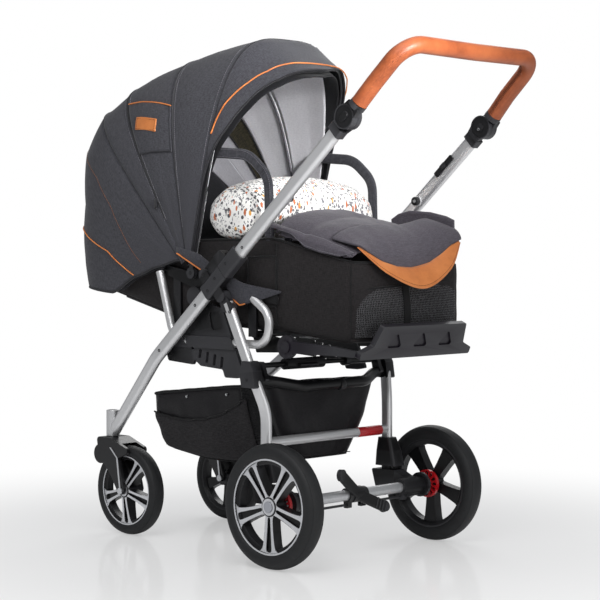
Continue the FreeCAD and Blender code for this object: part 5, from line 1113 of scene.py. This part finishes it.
def net_holes(material, pitch_mm, hole):
    """Opens a net's meshes: see-through cells with a strand between them, by the cloth's own map."""
    tree = material.node_tree
    shader = next(node for node in tree.nodes if node.type == "BSDF_PRINCIPLED")
    source = add(tree, "ShaderNodeUVMap", uv_map="cloth").outputs[0]
    cells = add(tree, "ShaderNodeTexVoronoi", {
        "Vector": source, "Scale": 1000.0 / pitch_mm, "Randomness": 0.35}, feature="DISTANCE_TO_EDGE")
    solid = add(tree, "ShaderNodeMath", {0: cells.outputs["Distance"], 1: hole}, operation="LESS_THAN")
    tree.links.new(solid.outputs[0], shader.inputs["Alpha"])


net_holes(foot_net_painted_highlight, 5.2, 0.075)


def line_reader(points):
    """Gives the place at a share of a line's length."""
    spans = [0.0]
    for one, two in zip(points, points[1:]):
        spans.append(spans[-1] + (two - one).length)

    def place(share):
        reach = min(max(share, 0.0), 1.0) * spans[-1]
        index = 0
        while index < len(points) - 2 and spans[index + 1] < reach:
            index += 1
        part = (reach - spans[index]) / max(spans[index + 1] - spans[index], 1e-9)
        return points[index].lerp(points[index + 1], part)

    return place


def ripple(a, b, seed, size):
    """Gentle unevenness of cloth, in millimetres."""
    return size * (noise.noise(Vector((a, b, seed)))
                   + 0.5 * noise.noise(Vector((2.3 * a, 2.1 * b, seed + 4.0))))


bag_corners = [at(0, BAG_HEAD, 0), at(BAG_HALF, BAG_HEAD, 0), at(BAG_HALF, BAG_FOOT, 0),
               at(-BAG_HALF, BAG_FOOT, 0), at(-BAG_HALF, BAG_HEAD, 0), at(0, BAG_HEAD, 0)]
bag_plan = line_reader(smooth_line(bag_corners, 0.017, 8))


def bag_wall(u, v, outside=0.0):
    """The bag's wall: u runs round it from the head over the left side, v from the base to the rim."""
    place = bag_plan(u)
    ahead = bag_plan(u + 0.002) - bag_plan(u - 0.002)
    outward = Vector((ahead.y, -ahead.x, 0)).normalized()
    behind = (place.y - rear_axle.y) * 1000
    low, high = stepped(BAG_BASE, behind), stepped(BAG_RIM, behind)
    bulge = 4.0 * math.sin(math.pi * v) ** 0.7
    bulge += ripple(behind / 90, place.x * 12 + 3 * v, 2.0, 2.6) * math.sin(math.pi * v)
    bulge -= 2.5 * math.exp(-((behind + 66) / 7) ** 2)
    tuck = 5.0 * max(0.0, 0.12 - v) / 0.12
    height = Vector((0, 0, (low + (high - low) * v) / 1000))
    return place + outward * (bulge - tuck + outside) / 1000 + height


wall, _ = cut_cloth("bag_wall", bag_wall, (220, 22), (2.3, 0.17), at(0, -250, 600), bag_canvas, 7.0,
                    "seat_unit")
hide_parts("carry_bag")


def bag_floor(u, v):
    y = BAG_HEAD + 6 + (BAG_FOOT - BAG_HEAD - 12) * v
    x = (BAG_HALF - 7) * (2 * u - 1)
    return at(x, y, stepped(BAG_BASE, y) + 2 - 1.5 * math.sin(math.pi * u))


floor_piece, _ = cut_cloth("bag_floor", bag_floor, (20, 60), (0.35, 0.77), at(0, -250, 900),
                           bag_canvas, 6.0, "seat_unit", offset=1.0)

rim_tape = [bag_wall(i / 160, 1.0, 0.5) for i in range(161)]
base_tape = [bag_wall(i / 160, 0.02, -3.0) for i in range(161)]
foot_seams = [[bag_wall(u, 0.04 + 0.92 * i / 12, 0.6) for i in range(13)] for u in (0.4205, 0.5795)]
side_seams = [[bag_wall(u, 0.04 + 0.92 * i / 12, 2.2) for i in range(13)] for u in (0.325, 0.675)]
welts("bag_rim_tape", "seat_unit", binding, 2.4, rim_tape)
welts("bag_base_tape", "seat_unit", binding, 2.2, base_tape)
welts("bag_seams", "seat_unit", binding, 1.3, *foot_seams, *side_seams)


def foot_net(u, v):
    x = 172 - 344 * u
    loose = math.sin(math.pi * v) * (5 + 5 * abs(math.sin(2 * math.pi * u)))
    loose += ripple(u * 5, v * 3, 8.0, 1.5)
    return at(x, BAG_FOOT + 4 + loose - 6 * (2 * u - 1) ** 6, 507 + (104 + 18 * u) * v)


net, net_area = cut_cloth("foot_pocket_net", foot_net, (70, 20), (0.37, 0.115), at(0, 0, 600), foot_net_painted_highlight,
                          0.8, "seat_unit")
welts("foot_pocket_hem", "seat_unit", binding, 2.6, [foot_net(i / 40, 1.0) for i in range(41)])
strap_line = [foot_net(0.47, i / 14) + Vector((0, 0.002, 0)) for i in range(15)]
webbing("foot_pocket_strap", strap_line, 24, 1.8, Vector((1, 0, 0)), binding, "seat_unit")


def side_pocket(u, v, sign):
    place = at(BAG_HALF + 4.5 + 3 * math.sin(math.pi * u) * math.sin(math.pi * v), -166 + 92 * u,
               566 + 6 * u + (116 - 4 * u) * v)
    return Vector((sign * place.x, place.y, place.z))


STRAP_OUT, BUCKLE_OUT = (BAG_HALF + 9.5) / 1000, 0.003
for side, sign in SIDES:
    pocket, pocket_area = cut_cloth(
        "side_pocket_" + side, lambda u, v: side_pocket(u, v, sign), (16, 16), (0.092, 0.116),
        at(0, -120, 600), bag_canvas, 2.0, "seat_unit")
    corners = [side_pocket(u, v, sign) for u, v in ((0, 0), (0, 1), (1, 1), (1, 0), (0, 0))]
    edge = smooth_line(corners, 0.006, 3)
    welts("side_pocket_binding_" + side, "seat_unit", binding, 2.0, edge)
    strap_line = [Vector((sign * STRAP_OUT, at(0, -196 + 130 * i / 12, 0).y, 0.603 - 0.018 * i / 12))
                  for i in range(13)]
    webbing("side_strap_" + side, strap_line, 20, 2.2, Vector((0, 0, 1)), binding, "seat_unit")
    buckle = [place + Vector((sign * BUCKLE_OUT, 0, 0)) for place in strap_line[2:6]]
    webbing("strap_buckle_" + side, buckle, 27, 7.0, Vector((0, 0, 1)), black_nylon, "seat_unit")

# ---------------------------------------------------------------- wing flaps
# Grey gussets sewn between hood and bag beside each hinge, hanging over the frame with cognac piping
# along the lower edge. Single sheets of the hood's canvas.
WING_TOP = ((-372, 706), (-300, 690), (-230, 650), (-150, 622), (-59, 606))
WING_LOW = ((-372, 690), (-284, 649), (-228, 611), (-163, 573), (-120, 582), (-59, 602))


def wing(u, v, sign):
    y = -372 + 313 * u
    low, high = stepped(WING_LOW, y), stepped(WING_TOP, y)
    out = 216.5 + 2.0 * math.sin(math.pi * v) - 26 * max(0.0, u - 0.72) / 0.28
    out += ripple(u * 4, v * 2, 3.0, 0.8)
    point = at(out, y, low + (high - low) * v)
    return Vector((point.x * sign, point.y, point.z))


for side, sign in SIDES:
    flap, flap_area = cut_cloth("wing_flap_" + side, lambda u, v: wing(u, v, sign), (50, 12), (0.34, 0.05),
                                at(0, -200, 640), hood_canvas, 2.0, "seat_unit")
    welts("wing_piping_" + side, "seat_unit", rust_piping, 1.7,
          [wing(i / 40 * 0.72, 0.0, sign) + Vector((sign * 0.001, 0, 0)) for i in range(41)])

# ---------------------------------------------------------------- padding
# Padded pieces are closed skins blown up as cloth, with no gravity, between pinned seams; the
# movement of each point is capped, and the result is kept as the mesh.
CLOTH_FRAMES = 20


def pad_out(piece, voxel_mm, pressure, cap_mm, seam=None):
    """Blows a closed piece up as cloth; seam(place) says which points are sewn down."""
    even = piece.modifiers.new("even", "REMESH")
    even.mode = "VOXEL"
    even.voxel_size = voxel_mm / 1000
    graph = bpy.context.evaluated_depsgraph_get()
    finish = list(piece.data.materials)
    start = bpy.data.meshes.new_from_object(piece.evaluated_get(graph))
    piece.modifiers.clear()
    piece.data = start
    start.materials.clear()
    for material in finish:
        start.materials.append(material)
    rest = [vertex.co.copy() for vertex in start.vertices]
    if seam:
        sewn = piece.vertex_groups.new(name="sewn")
        sewn.add([i for i, place in enumerate(rest) if seam(place)], 1.0, "REPLACE")
    cloth = piece.modifiers.new("cloth", "CLOTH")
    for name, value in (("quality", 4), ("mass", 0.15), ("tension_stiffness", 20.0),
                        ("compression_stiffness", 20.0), ("bending_stiffness", 0.3), ("use_pressure", True),
                        ("uniform_pressure_force", pressure)):
        setattr(cloth.settings, name, value)
    cloth.settings.effector_weights.gravity = 0.0
    if seam:
        cloth.settings.vertex_group_mass = "sewn"
    for frame_number in range(1, CLOTH_FRAMES + 1):
        bpy.context.scene.frame_set(frame_number)
    graph = bpy.context.evaluated_depsgraph_get()
    blown = piece.evaluated_get(graph).data
    ends = [vertex.co.copy() for vertex in blown.vertices]
    piece.modifiers.clear()
    for vertex, one, two in zip(start.vertices, rest, ends):
        move = two - one
        if move.length > cap_mm / 1000:
            move *= cap_mm / 1000 / move.length
        vertex.co = one + move
    bpy.context.scene.frame_set(1)
    piece.vertex_groups.clear()
    start.shade_smooth()
    finer = piece.modifiers.new("finer", "SUBSURF")
    finer.levels = 1
    finer.render_levels = 1
    return piece


def cushion(name, place, thickness, across, down, material, body):
    """A closed pad: place(u, v) is its middle, thickness(u, v) its depth there in metres."""
    rings = []
    for j in range(down + 1):
        v = j / down
        middles = [place(i / across, v) for i in range(across + 1)]
        halves = [Vector((0, 0, thickness(i / across, v) / 2)) for i in range(across + 1)]
        rings.append([middle + half for middle, half in zip(middles, halves)]
                     + [middles[i] - halves[i] for i in range(across - 1, 0, -1)])
    return ringed(name, rings, material, body)


def pinched(u, v, sharp=8):
    """Full in the middle, thin at the edges."""
    return max(0.02, (1 - abs(2 * u - 1) ** sharp) * (1 - abs(2 * v - 1) ** sharp)) ** 0.5


# ---------------------------------------------------------------- mattress
# A thin foam mattress in the print cloth, which lies on the floor of the bag. The print is small
# narrow leaves about 5 mm apart in ink greys, with a rust or an ochre one every 30 mm or so.
print_cloth, tree, shader = new_material("cotton_print_leaves")
cloth_place = add(tree, "ShaderNodeTexCoord").outputs["Object"]
# Spacing in millimetres, stretch and turn of the cells, size of a leaf, its colour, and an offset.
MOTIFS = (
    (5.6, (1.0, 0.4, 0.4), (0.6, 0.9, 0.3), 0.33, "#4a494d", (0.7, 0.1, 0.3)),
    (5.2, (0.4, 1.0, 0.45), (1.1, 0.3, 0.8), 0.3, "#77767b", (1.9, 4.1, 0.6)),
    (4.4, (0.5, 0.5, 1.0), (0.2, 1.7, 1.2), 0.2, "#59585d", (2.3, 0.8, 1.1)),
    (17.0, (1.1, 1.1, 0.4), (0.3, 0.5, 0.2), 0.2, "#c06a3c", (3.1, 0.4, 0.9)),
    (19.0, (1.2, 0.7, 0.4), (1.5, 0.7, 0.4), 0.14, "#dba24a", (5.7, 1.3, 2.9)))
tone = add(tree, "ShaderNodeRGB").outputs[0]
tone.default_value = colour("#f1efec")
for spacing_mm, stretch, turn, size, hex_value, offset in MOTIFS:
    moved = add(tree, "ShaderNodeMapping", {
        0: cloth_place, "Location": offset, "Rotation": turn, "Scale": stretch})
    cells = add(tree, "ShaderNodeTexVoronoi", {
        "Vector": moved.outputs[0], "Scale": 1000.0 / spacing_mm, "Randomness": 0.9})
    inside = add(tree, "ShaderNodeMath", {0: cells.outputs["Distance"], 1: size}, operation="LESS_THAN")
    tone = add(tree, "ShaderNodeMix", {0: inside.outputs[0], 6: tone, 7: colour(hex_value)},
               data_type="RGBA").outputs[2]
weave = add(tree, "ShaderNodeTexNoise", {"Vector": cloth_place, "Scale": 900.0})
bump = add(tree, "ShaderNodeBump", {"Height": weave.outputs[0], "Strength": 0.2, "Distance": 0.0005})
plug(tree, shader, {"Base Color": tone, "Roughness": 0.8, "Sheen Weight": 0.15, "Normal": bump.outputs[0]})


def mattress_place(u, v):
    y = BAG_HEAD + 16 + (BAG_FOOT - BAG_HEAD - 34) * v
    return at(166 * (2 * u - 1), y, stepped(BAG_BASE, y) + 24)


mattress = cushion("mattress", mattress_place, lambda u, v: 0.028 * pinched(u, v, 14), 24, 44, print_cloth,
                   "seat_unit")
pad_out(mattress, 6.0, 3.0, 5.0)

# ---------------------------------------------------------------- bolster
# A stuffed bolster in the same print across the opening of the hood, fullest in the middle, with a
# seam round each end. A closed skin, blown up as cloth between its end seams.
BOLSTER_Y, BOLSTER_SKEW = -205.0, 30.0


def bolster_ring(share):
    shrink = (1 - abs(share) ** 7) ** 0.35
    full = (1 - share * share) ** 0.5
    half_y = (88 + 12 * full) * shrink
    half_z = (68 + 2 * full) * shrink
    rest_z = stepped(BAG_RIM, BOLSTER_Y) - 8
    middle_z = rest_z + 60 + 26 * full * full
    ring_ = []
    for step in range(56):
        turn = 2 * math.pi * step / 56
        crease = 1 + 0.02 * math.sin(9 * turn + 3 * share) * abs(share) ** 3
        ring_.append(at(192 * share, BOLSTER_Y - BOLSTER_SKEW * share + half_y * crease * math.cos(turn),
                        middle_z + half_z * crease * math.sin(turn)))
    return ring_


bolster_ends = [max(-0.999, min(0.999, -math.cos(math.pi * i / 44))) for i in range(45)]
bolster = ringed("bolster", [bolster_ring(share) for share in bolster_ends], print_cloth, "seat_unit")
END_SEAM, SEAM_WIDTH = 0.172, 0.006
pad_out(bolster, 5.5, 4.0, 7.0, seam=lambda place: END_SEAM < abs(place.x) < END_SEAM + SEAM_WIDTH)
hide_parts("pillow")

# ---------------------------------------------------------------- carry handles
# Padded loops of the hood's canvas with a row of stitches beside each edge, sewn to the rim of the
# bag on both sides. Each is one closed skin along a line with round corners.
LOOP_X = 178.0
LOOP_LINE = ((-106, 712), (-110, 862), (-172, 915), (-297, 925), (-377, 862), (-387, 712))
for side, sign in SIDES:
    read = line_reader(smooth_line([at(LOOP_X * sign, y, z) for y, z in LOOP_LINE], 0.028, 8))
    even_line = [read(i / 90) for i in range(91)]
    handle = webbing("carry_strap_" + side, even_line, 25.0, 11.0, Vector((0, 1, 0.4)), hood_canvas,
                     "seat_unit", edge=5)
    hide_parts("carry_handle_" + side)
    rows = ([], [])
    for index in range(3, 88):
        across = (even_line[index + 1] - even_line[index - 1]).normalized().cross(Vector((1, 0, 0)))
        for row, reach in zip(rows, (0.0088, -0.0088)):
            row.append(even_line[index] + across * reach + Vector((sign * 0.0055, 0, 0)))
    stitches("carry_strap_stitches_" + side, "seat_unit", grey_thread, *rows)

# ---------------------------------------------------------------- apron
# A padded cover over the foot end in grey melange canvas: a quilted dome, a side flap that hangs over
# the rim on the left, a raised wind strip on the right, and a tongue at the foot edged with leather.
apron_canvas = woven("melange_canvas_grey", "#423e45", "#58545c", 1.6, uv=False)
APRON_TOP = ((-92, 796), (-37, 781), (63, 757), (148, 712))
APRON_HALF = 187.0


def apron_height(x, y):
    """Top of the apron, in millimetres above the ground."""
    low = stepped(BAG_RIM, y) + 3
    high = stepped(APRON_TOP, y)
    dome = max(0.0, 1 - abs(x / APRON_HALF) ** 2.6) ** 0.55
    dent = 3.5 * math.exp(-((x + 20) / 16) ** 2) * math.exp(-((y - 20) / 70) ** 2)
    dent += 3.0 * math.exp(-((y + 12 - 0.1 * x) / 13) ** 2)
    return low + (high - low) * dome - dent + ripple(x / 60, y / 60, 6.0, 2.4)


def apron_place(u, v):
    x = APRON_HALF * (2 * u - 1)
    y = -90 + 236 * v
    return at(x, y, apron_height(x, y) - 6)


apron = cushion("apron_pad", apron_place, lambda u, v: 0.012 * pinched(u, v, 12), 60, 42, apron_canvas,
                "seat_unit")


def quilted(place):
    """The apron's sewn lines: its edge, one line across and two along."""
    x, y = place.x * 1000, (place.y - rear_axle.y) * 1000
    edge = abs(x) > APRON_HALF - 9 or y < -84 or y > 139
    return edge or abs(y + 12 - 0.1 * x) < 3.5 or (y > -8 and abs(abs(x) - 62) < 3.5)


pad_out(apron, 5.5, 3.5, 7.0, seam=quilted)
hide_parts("apron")

FLAP_LOW = ((-94, 772), (-62, 758), (-20, 730), (14, 705), (60, 693), (118, 684), (140, 688), (152, 704))


def side_flap(u, v):
    y = -92 + 242 * u
    top = apron_height(0.94 * APRON_HALF, y) + 4
    low = min(stepped(FLAP_LOW, y), top - 6)
    out = 180 + 10.5 * math.sin(math.pi / 2 * min(1.0, 2.2 * v)) + ripple(y / 40, v, 9.0, 1.4) * v
    return at(out, y, top + (low - top) * v)


flap, flap_area = cut_cloth("apron_flap_left", side_flap, (60, 14), (0.25, 0.05), at(0, 30, 700),
                            apron_canvas, 3.0, "seat_unit", offset=1.0)
stitches("apron_flap_stitches_left", "seat_unit", grey_thread,
         [side_flap(i / 60, 0.86) + Vector((0.0032, 0, 0)) for i in range(61)])

STRIP_TOP = ((-60, 765), (-28, 783), (5, 790), (66, 786), (114, 776), (138, 766))


def wind_strip(u, v):
    y = -50 + 187 * u
    low = apron_height(-170, y) - 2
    high = stepped(STRIP_TOP, y)
    return at(-181 + 3 * v + ripple(u * 3, v, 5.0, 1.0), y, low + (high - low) * v)


strip, _ = cut_cloth("apron_wind_strip", wind_strip, (50, 10), (0.2, 0.035), at(-400, 30, 760),
                     apron_canvas, 5.0, "seat_unit")

TONGUE_LOW = ((-182, 722), (-139, 708), (-100, 687), (-60, 667), (3, 656), (50, 659), (100, 673),
              (150, 697), (168, 706))
BAND_X = ((0.0, 172.0), (0.27, 95.0), (0.5, 0.0), (0.75, -100.0), (1.0, -174.0))
BAND_Y = ((0.0, 153.0), (0.27, 178.0), (0.5, 198.0), (0.75, 192.0), (1.0, 160.0))
BAND_Z = ((0.0, 704.0), (0.27, 645.0), (0.5, 614.0), (0.75, 655.0), (1.0, 714.0))


def eased(table, share):
    """A smooth value through a table's points."""
    points = [table[0], *table, table[-1]]
    for before, one, two, after in zip(points, points[1:], points[2:], points[3:]):
        if share <= two[0] or two is table[-1]:
            t = (share - one[0]) / (two[0] - one[0])
            slope_in = (two[1] - before[1]) / 2
            slope_out = (after[1] - one[1]) / 2
            return ((2 * t ** 3 - 3 * t ** 2 + 1) * one[1] + (t ** 3 - 2 * t ** 2 + t) * slope_in
                    + (3 * t ** 2 - 2 * t ** 3) * two[1] + (t ** 3 - t ** 2) * slope_out)
    return table[-1][1]


def tongue(u, v):
    x = 170 - 352 * u
    raised = 50 * max(0.0, min(1.0, (-x - 50) / 132)) ** 1.3
    root = at(x, 76, apron_height(max(-180, min(180, x)), 76) + 3 + raised)
    bend = at(x, 152, apron_height(max(-176, min(176, x)), 140) + 12 + raised)
    low = at(x, 160 - 6 * abs(2 * u - 1) ** 2, stepped(TONGUE_LOW, x))
    return root * (1 - v) ** 2 + bend * 2 * v * (1 - v) + low * v * v


tongue_piece, _ = cut_cloth("apron_tongue", tongue, (70, 26), (0.36, 0.15), at(0, 60, 650),
                            apron_canvas, 4.0, "seat_unit", offset=1.0)


def band(u, v):
    upper = tongue(0.5 + 0.97 * (u - 0.5), 0.93) - Vector((0, 0.003, 0.001))
    lower = at(eased(BAND_X, u), eased(BAND_Y, u), eased(BAND_Z, u))
    middle = (upper + lower) / 2 + Vector((0, 0.008, 0.002)) * math.sin(math.pi * u)
    return upper * (1 - v) ** 2 + middle * 2 * v * (1 - v) + lower * v * v


band_piece, band_area = cut_cloth("apron_leather_edge", band, (80, 14), (0.4, 0.06), at(0, 60, 650),
                                  trim_leather, 2.2, "seat_unit", offset=0.0)
for name, finish, depth in (("apron_edge_stitches", brown_thread, 0.9),
                            ("apron_top_stitches", grey_thread, 0.16)):
    stitches(name, "seat_unit", finish,
             [band(i / 80, depth) + Vector((0, 0.0016, 0)) for i in range(81)])
welts("apron_edge_cord", "seat_unit", trim_leather, 1.6, [band(i / 80, 1.0) for i in range(81)])

# ---------------------------------------------------------------- basket
# A sewn shopping basket of black satin nylon slung between the legs and the rear bar: sagging walls,
# a net pocket with a bound, dipping hem on each side, and pale net let into the rear corners.
basket_satin = woven("nylon_satin_black", "#0f0e10", "#1e1c1f", 1.2, uv=False, fuzz=0.03, rough=0.36)
basket_net = woven("warp_knit_net_black", "#131214", "#2f2d2f", 1.8, uv=False, fuzz=0.06, rough=0.8)
corner_net = woven("corner_net_black", "#1a1a1b", "#3c3c3e", 1.2)
net_holes(corner_net, 3.6, 0.1)
BASKET_RIM = ((0, -520), (172, -520), (176, -300), (184, -92), (-184, -92), (-176, -300), (-172, -520),
              (0, -520))
BASKET_FOOT = ((0, -488), (150, -488), (152, -300), (92, -98), (-92, -98), (-152, -300), (-150, -488),
               (0, -488))
RIM_Z = ((-522, 350), (-312, 374), (-157, 389), (-88, 390))
FOOT_Z = ((-490, 226), (-338, 206), (-204, 203), (-100, 218))


def paired_loops(one, two, radius, step_mm):
    """Two loops with the same count of places, corner matching corner."""
    first = smooth_line([at(x, y, 0) for x, y in one], radius, 8)
    second = smooth_line([at(x, y, 0) for x, y in two], radius, 8)
    pairs = [(first[0], second[0])]
    for (a, b), (c, d) in zip(zip(first, second), zip(first[1:], second[1:])):
        cuts = max(1, round((c - a).length * 1000 / step_mm))
        pairs += [(a.lerp(c, i / cuts), b.lerp(d, i / cuts)) for i in range(1, cuts + 1)]
    return pairs


basket_pairs = paired_loops(BASKET_RIM, BASKET_FOOT, 0.045, 9.0)


def basket_spot(index, v, stand=0.0):
    """A point of the basket's wall: v runs from the foot to the rim."""
    rim, foot = basket_pairs[index % (len(basket_pairs) - 1)]
    behind_rim, behind_foot = (rim.y - rear_axle.y) * 1000, (foot.y - rear_axle.y) * 1000
    low, high = stepped(FOOT_Z, behind_foot), stepped(RIM_Z, behind_rim)
    out = v ** (0.95 - 0.4 * min(1.0, max(0.0, (-120 - behind_rim) / 200)))
    flat = foot.lerp(rim, out)
    centre = at(0, -300, 0)
    away = Vector((flat.x - centre.x, (flat.y - centre.y) * 0.5, 0)).normalized()
    loose = ripple(index / 9.0, 2.2 * v, 12.0, 5.0) * math.sin(math.pi * min(1.0, v * 1.05))
    loose += 5.0 * math.sin(math.pi * v)
    height = low + (high - low) * v + ripple(index / 7.0, 1.0, 15.0, 2.0) * v
    return Vector((flat.x, flat.y, height / 1000)) + away * (loose + stand) / 1000


def basket_fits(piece):
    """Bakes a basket piece's place into its mesh."""
    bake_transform(piece)


def basket_skin(name, ends, levels, material, thick, stand=0.0, rows=16):
    """A piece of the wall between two places of the loop; its upper level may change with u."""
    (first, last), (low, top) = ends, levels

    def place(u, v):
        high = top(u) if callable(top) else top
        spot = first + u * (last - first)
        index = min(int(spot), last - 1)
        level = low + (high - low) * v
        return basket_spot(index, level, stand).lerp(basket_spot(index + 1, level, stand), spot - index)

    width = run_length(lambda u: place(u, 0.5), 60)
    height = (place(0.5, 1) - place(0.5, 0)).length
    piece, area = cut_cloth(name, place, (max(8, last - first), rows), (width, height), at(0, -300, 300),
                            material, thick, None)
    basket_fits(piece)
    return piece


def loop_at(side, behind):
    """The place of the loop on one side at this distance behind the rear axle."""
    on_side = [index for index, (rim, _) in enumerate(basket_pairs) if rim.x * side > 0.1]
    return min(on_side, key=lambda index: abs((basket_pairs[index][0].y - rear_axle.y) * 1000 - behind))


whole = len(basket_pairs) - 1
NET_FRONT, NET_REAR, NET_FOOT = -196, -128, 0.3
left_corner = (loop_at(1, NET_FRONT), loop_at(1, NET_REAR))
right_corner = (loop_at(-1, NET_REAR), loop_at(-1, NET_FRONT))
front_wall = (right_corner[1] - whole, left_corner[0])
wall_piece = basket_skin("basket_front_wall", front_wall, (0.0, 1.0), basket_satin, 1.6)
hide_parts("basket")
basket_skin("basket_rear_wall", (left_corner[1], right_corner[0]), (0.0, 1.0), basket_satin, 1.6)
for side, corner in (("left", left_corner), ("right", right_corner)):
    basket_skin("basket_corner_" + side, corner, (NET_FOOT, 1.0), corner_net, 0.6)
    basket_skin("basket_corner_foot_" + side, corner, (0.0, NET_FOOT), basket_satin, 1.6, rows=6)


def basket_floor(u, v):
    """The floor hangs between the walls' lower edges."""
    behind = -486 + 384 * v
    half = stepped(((-490, 148), (-300, 150), (-100, 90)), behind)
    sag = 7 * math.sin(math.pi * u) * math.sin(math.pi * v) + ripple(u * 4, v * 5, 14.0, 3.0)
    return at(half * (2 * u - 1), behind, stepped(FOOT_Z, behind) + 1.5 - sag)


floor_cloth, floor_area = cut_cloth("basket_floor", basket_floor, (26, 34), (0.3, 0.39), at(0, -300, 600),
                                    basket_satin, 2.0, None)
basket_fits(floor_cloth)

rim_band = [basket_spot(i, 1.0) for i in range(whole + 1)]
foot_band = [basket_spot(i, 0.0, -1.0) for i in range(whole + 1)]
for name, line, radius in (("basket_rim_binding", rim_band, 3.6),
                           ("basket_foot_binding", foot_band, 2.0)):
    basket_fits(welts(name, None, binding, radius, line))
POCKET_FRONT, POCKET_REAR = -505, -180
POCKET_HEM = ((0.0, 0.66), (0.12, 0.6), (0.3, 0.56), (0.5, 0.56), (0.7, 0.62), (0.86, 0.73), (1.0, 0.84))
left_run = (loop_at(1, POCKET_FRONT), loop_at(1, POCKET_REAR))
right_run = (loop_at(-1, POCKET_REAR), loop_at(-1, POCKET_FRONT))
for side, (first, last) in (("left", left_run), ("right", right_run)):
    def hem(u, flip=(side == "right")):
        return eased(POCKET_HEM, 1 - u if flip else u)

    basket_skin("basket_pocket_" + side, (first, last), (0.02, hem), basket_net, 1.2, stand=5.0, rows=18)
    line = [basket_spot(first + round((last - first) * i / 40), hem(i / 40), 6.0) for i in range(41)]
    basket_fits(welts("basket_pocket_hem_" + side, None, binding, 2.2, line))

snaps = [basket_spot(left_run[0] + round((left_run[1] - left_run[0]) * share), 0.9, 3.0)
         for share in (0.4, 0.78)]
snaps += [Vector((-spot.x, spot.y, spot.z)) for spot in snaps]
ways = [(math.copysign(1.0, spot.x), 0, 0) for spot in snaps]
basket_fits(grow("basket_snaps", None, screw_tree, marks(snaps, ways), Radius=0.0036, Height=HEAD_HEIGHT,
                 Finish=zinc))

# A rubber clip keeps the basket's edge on the bar: distance across and how far its wall stands out.
CLIP = at(0, -69.5, 385.5)
BAR_RADIUS = 10.5
CLIP_PROFILE = ((-27, -1.5), (-27, 2.4), (-26, 3.0), (-14, 3.0), (-13, 2.4), (-13, -1.5))
clip_rings = [hoop(x / 1000, CLIP.y, CLIP.z, (BAR_RADIUS + wall) / 1000, (BAR_RADIUS + wall) / 1000, 36)
              for x, wall in CLIP_PROFILE]
ringed("bar_clip", clip_rings, black_nylon, "rear_frame", closed=False)
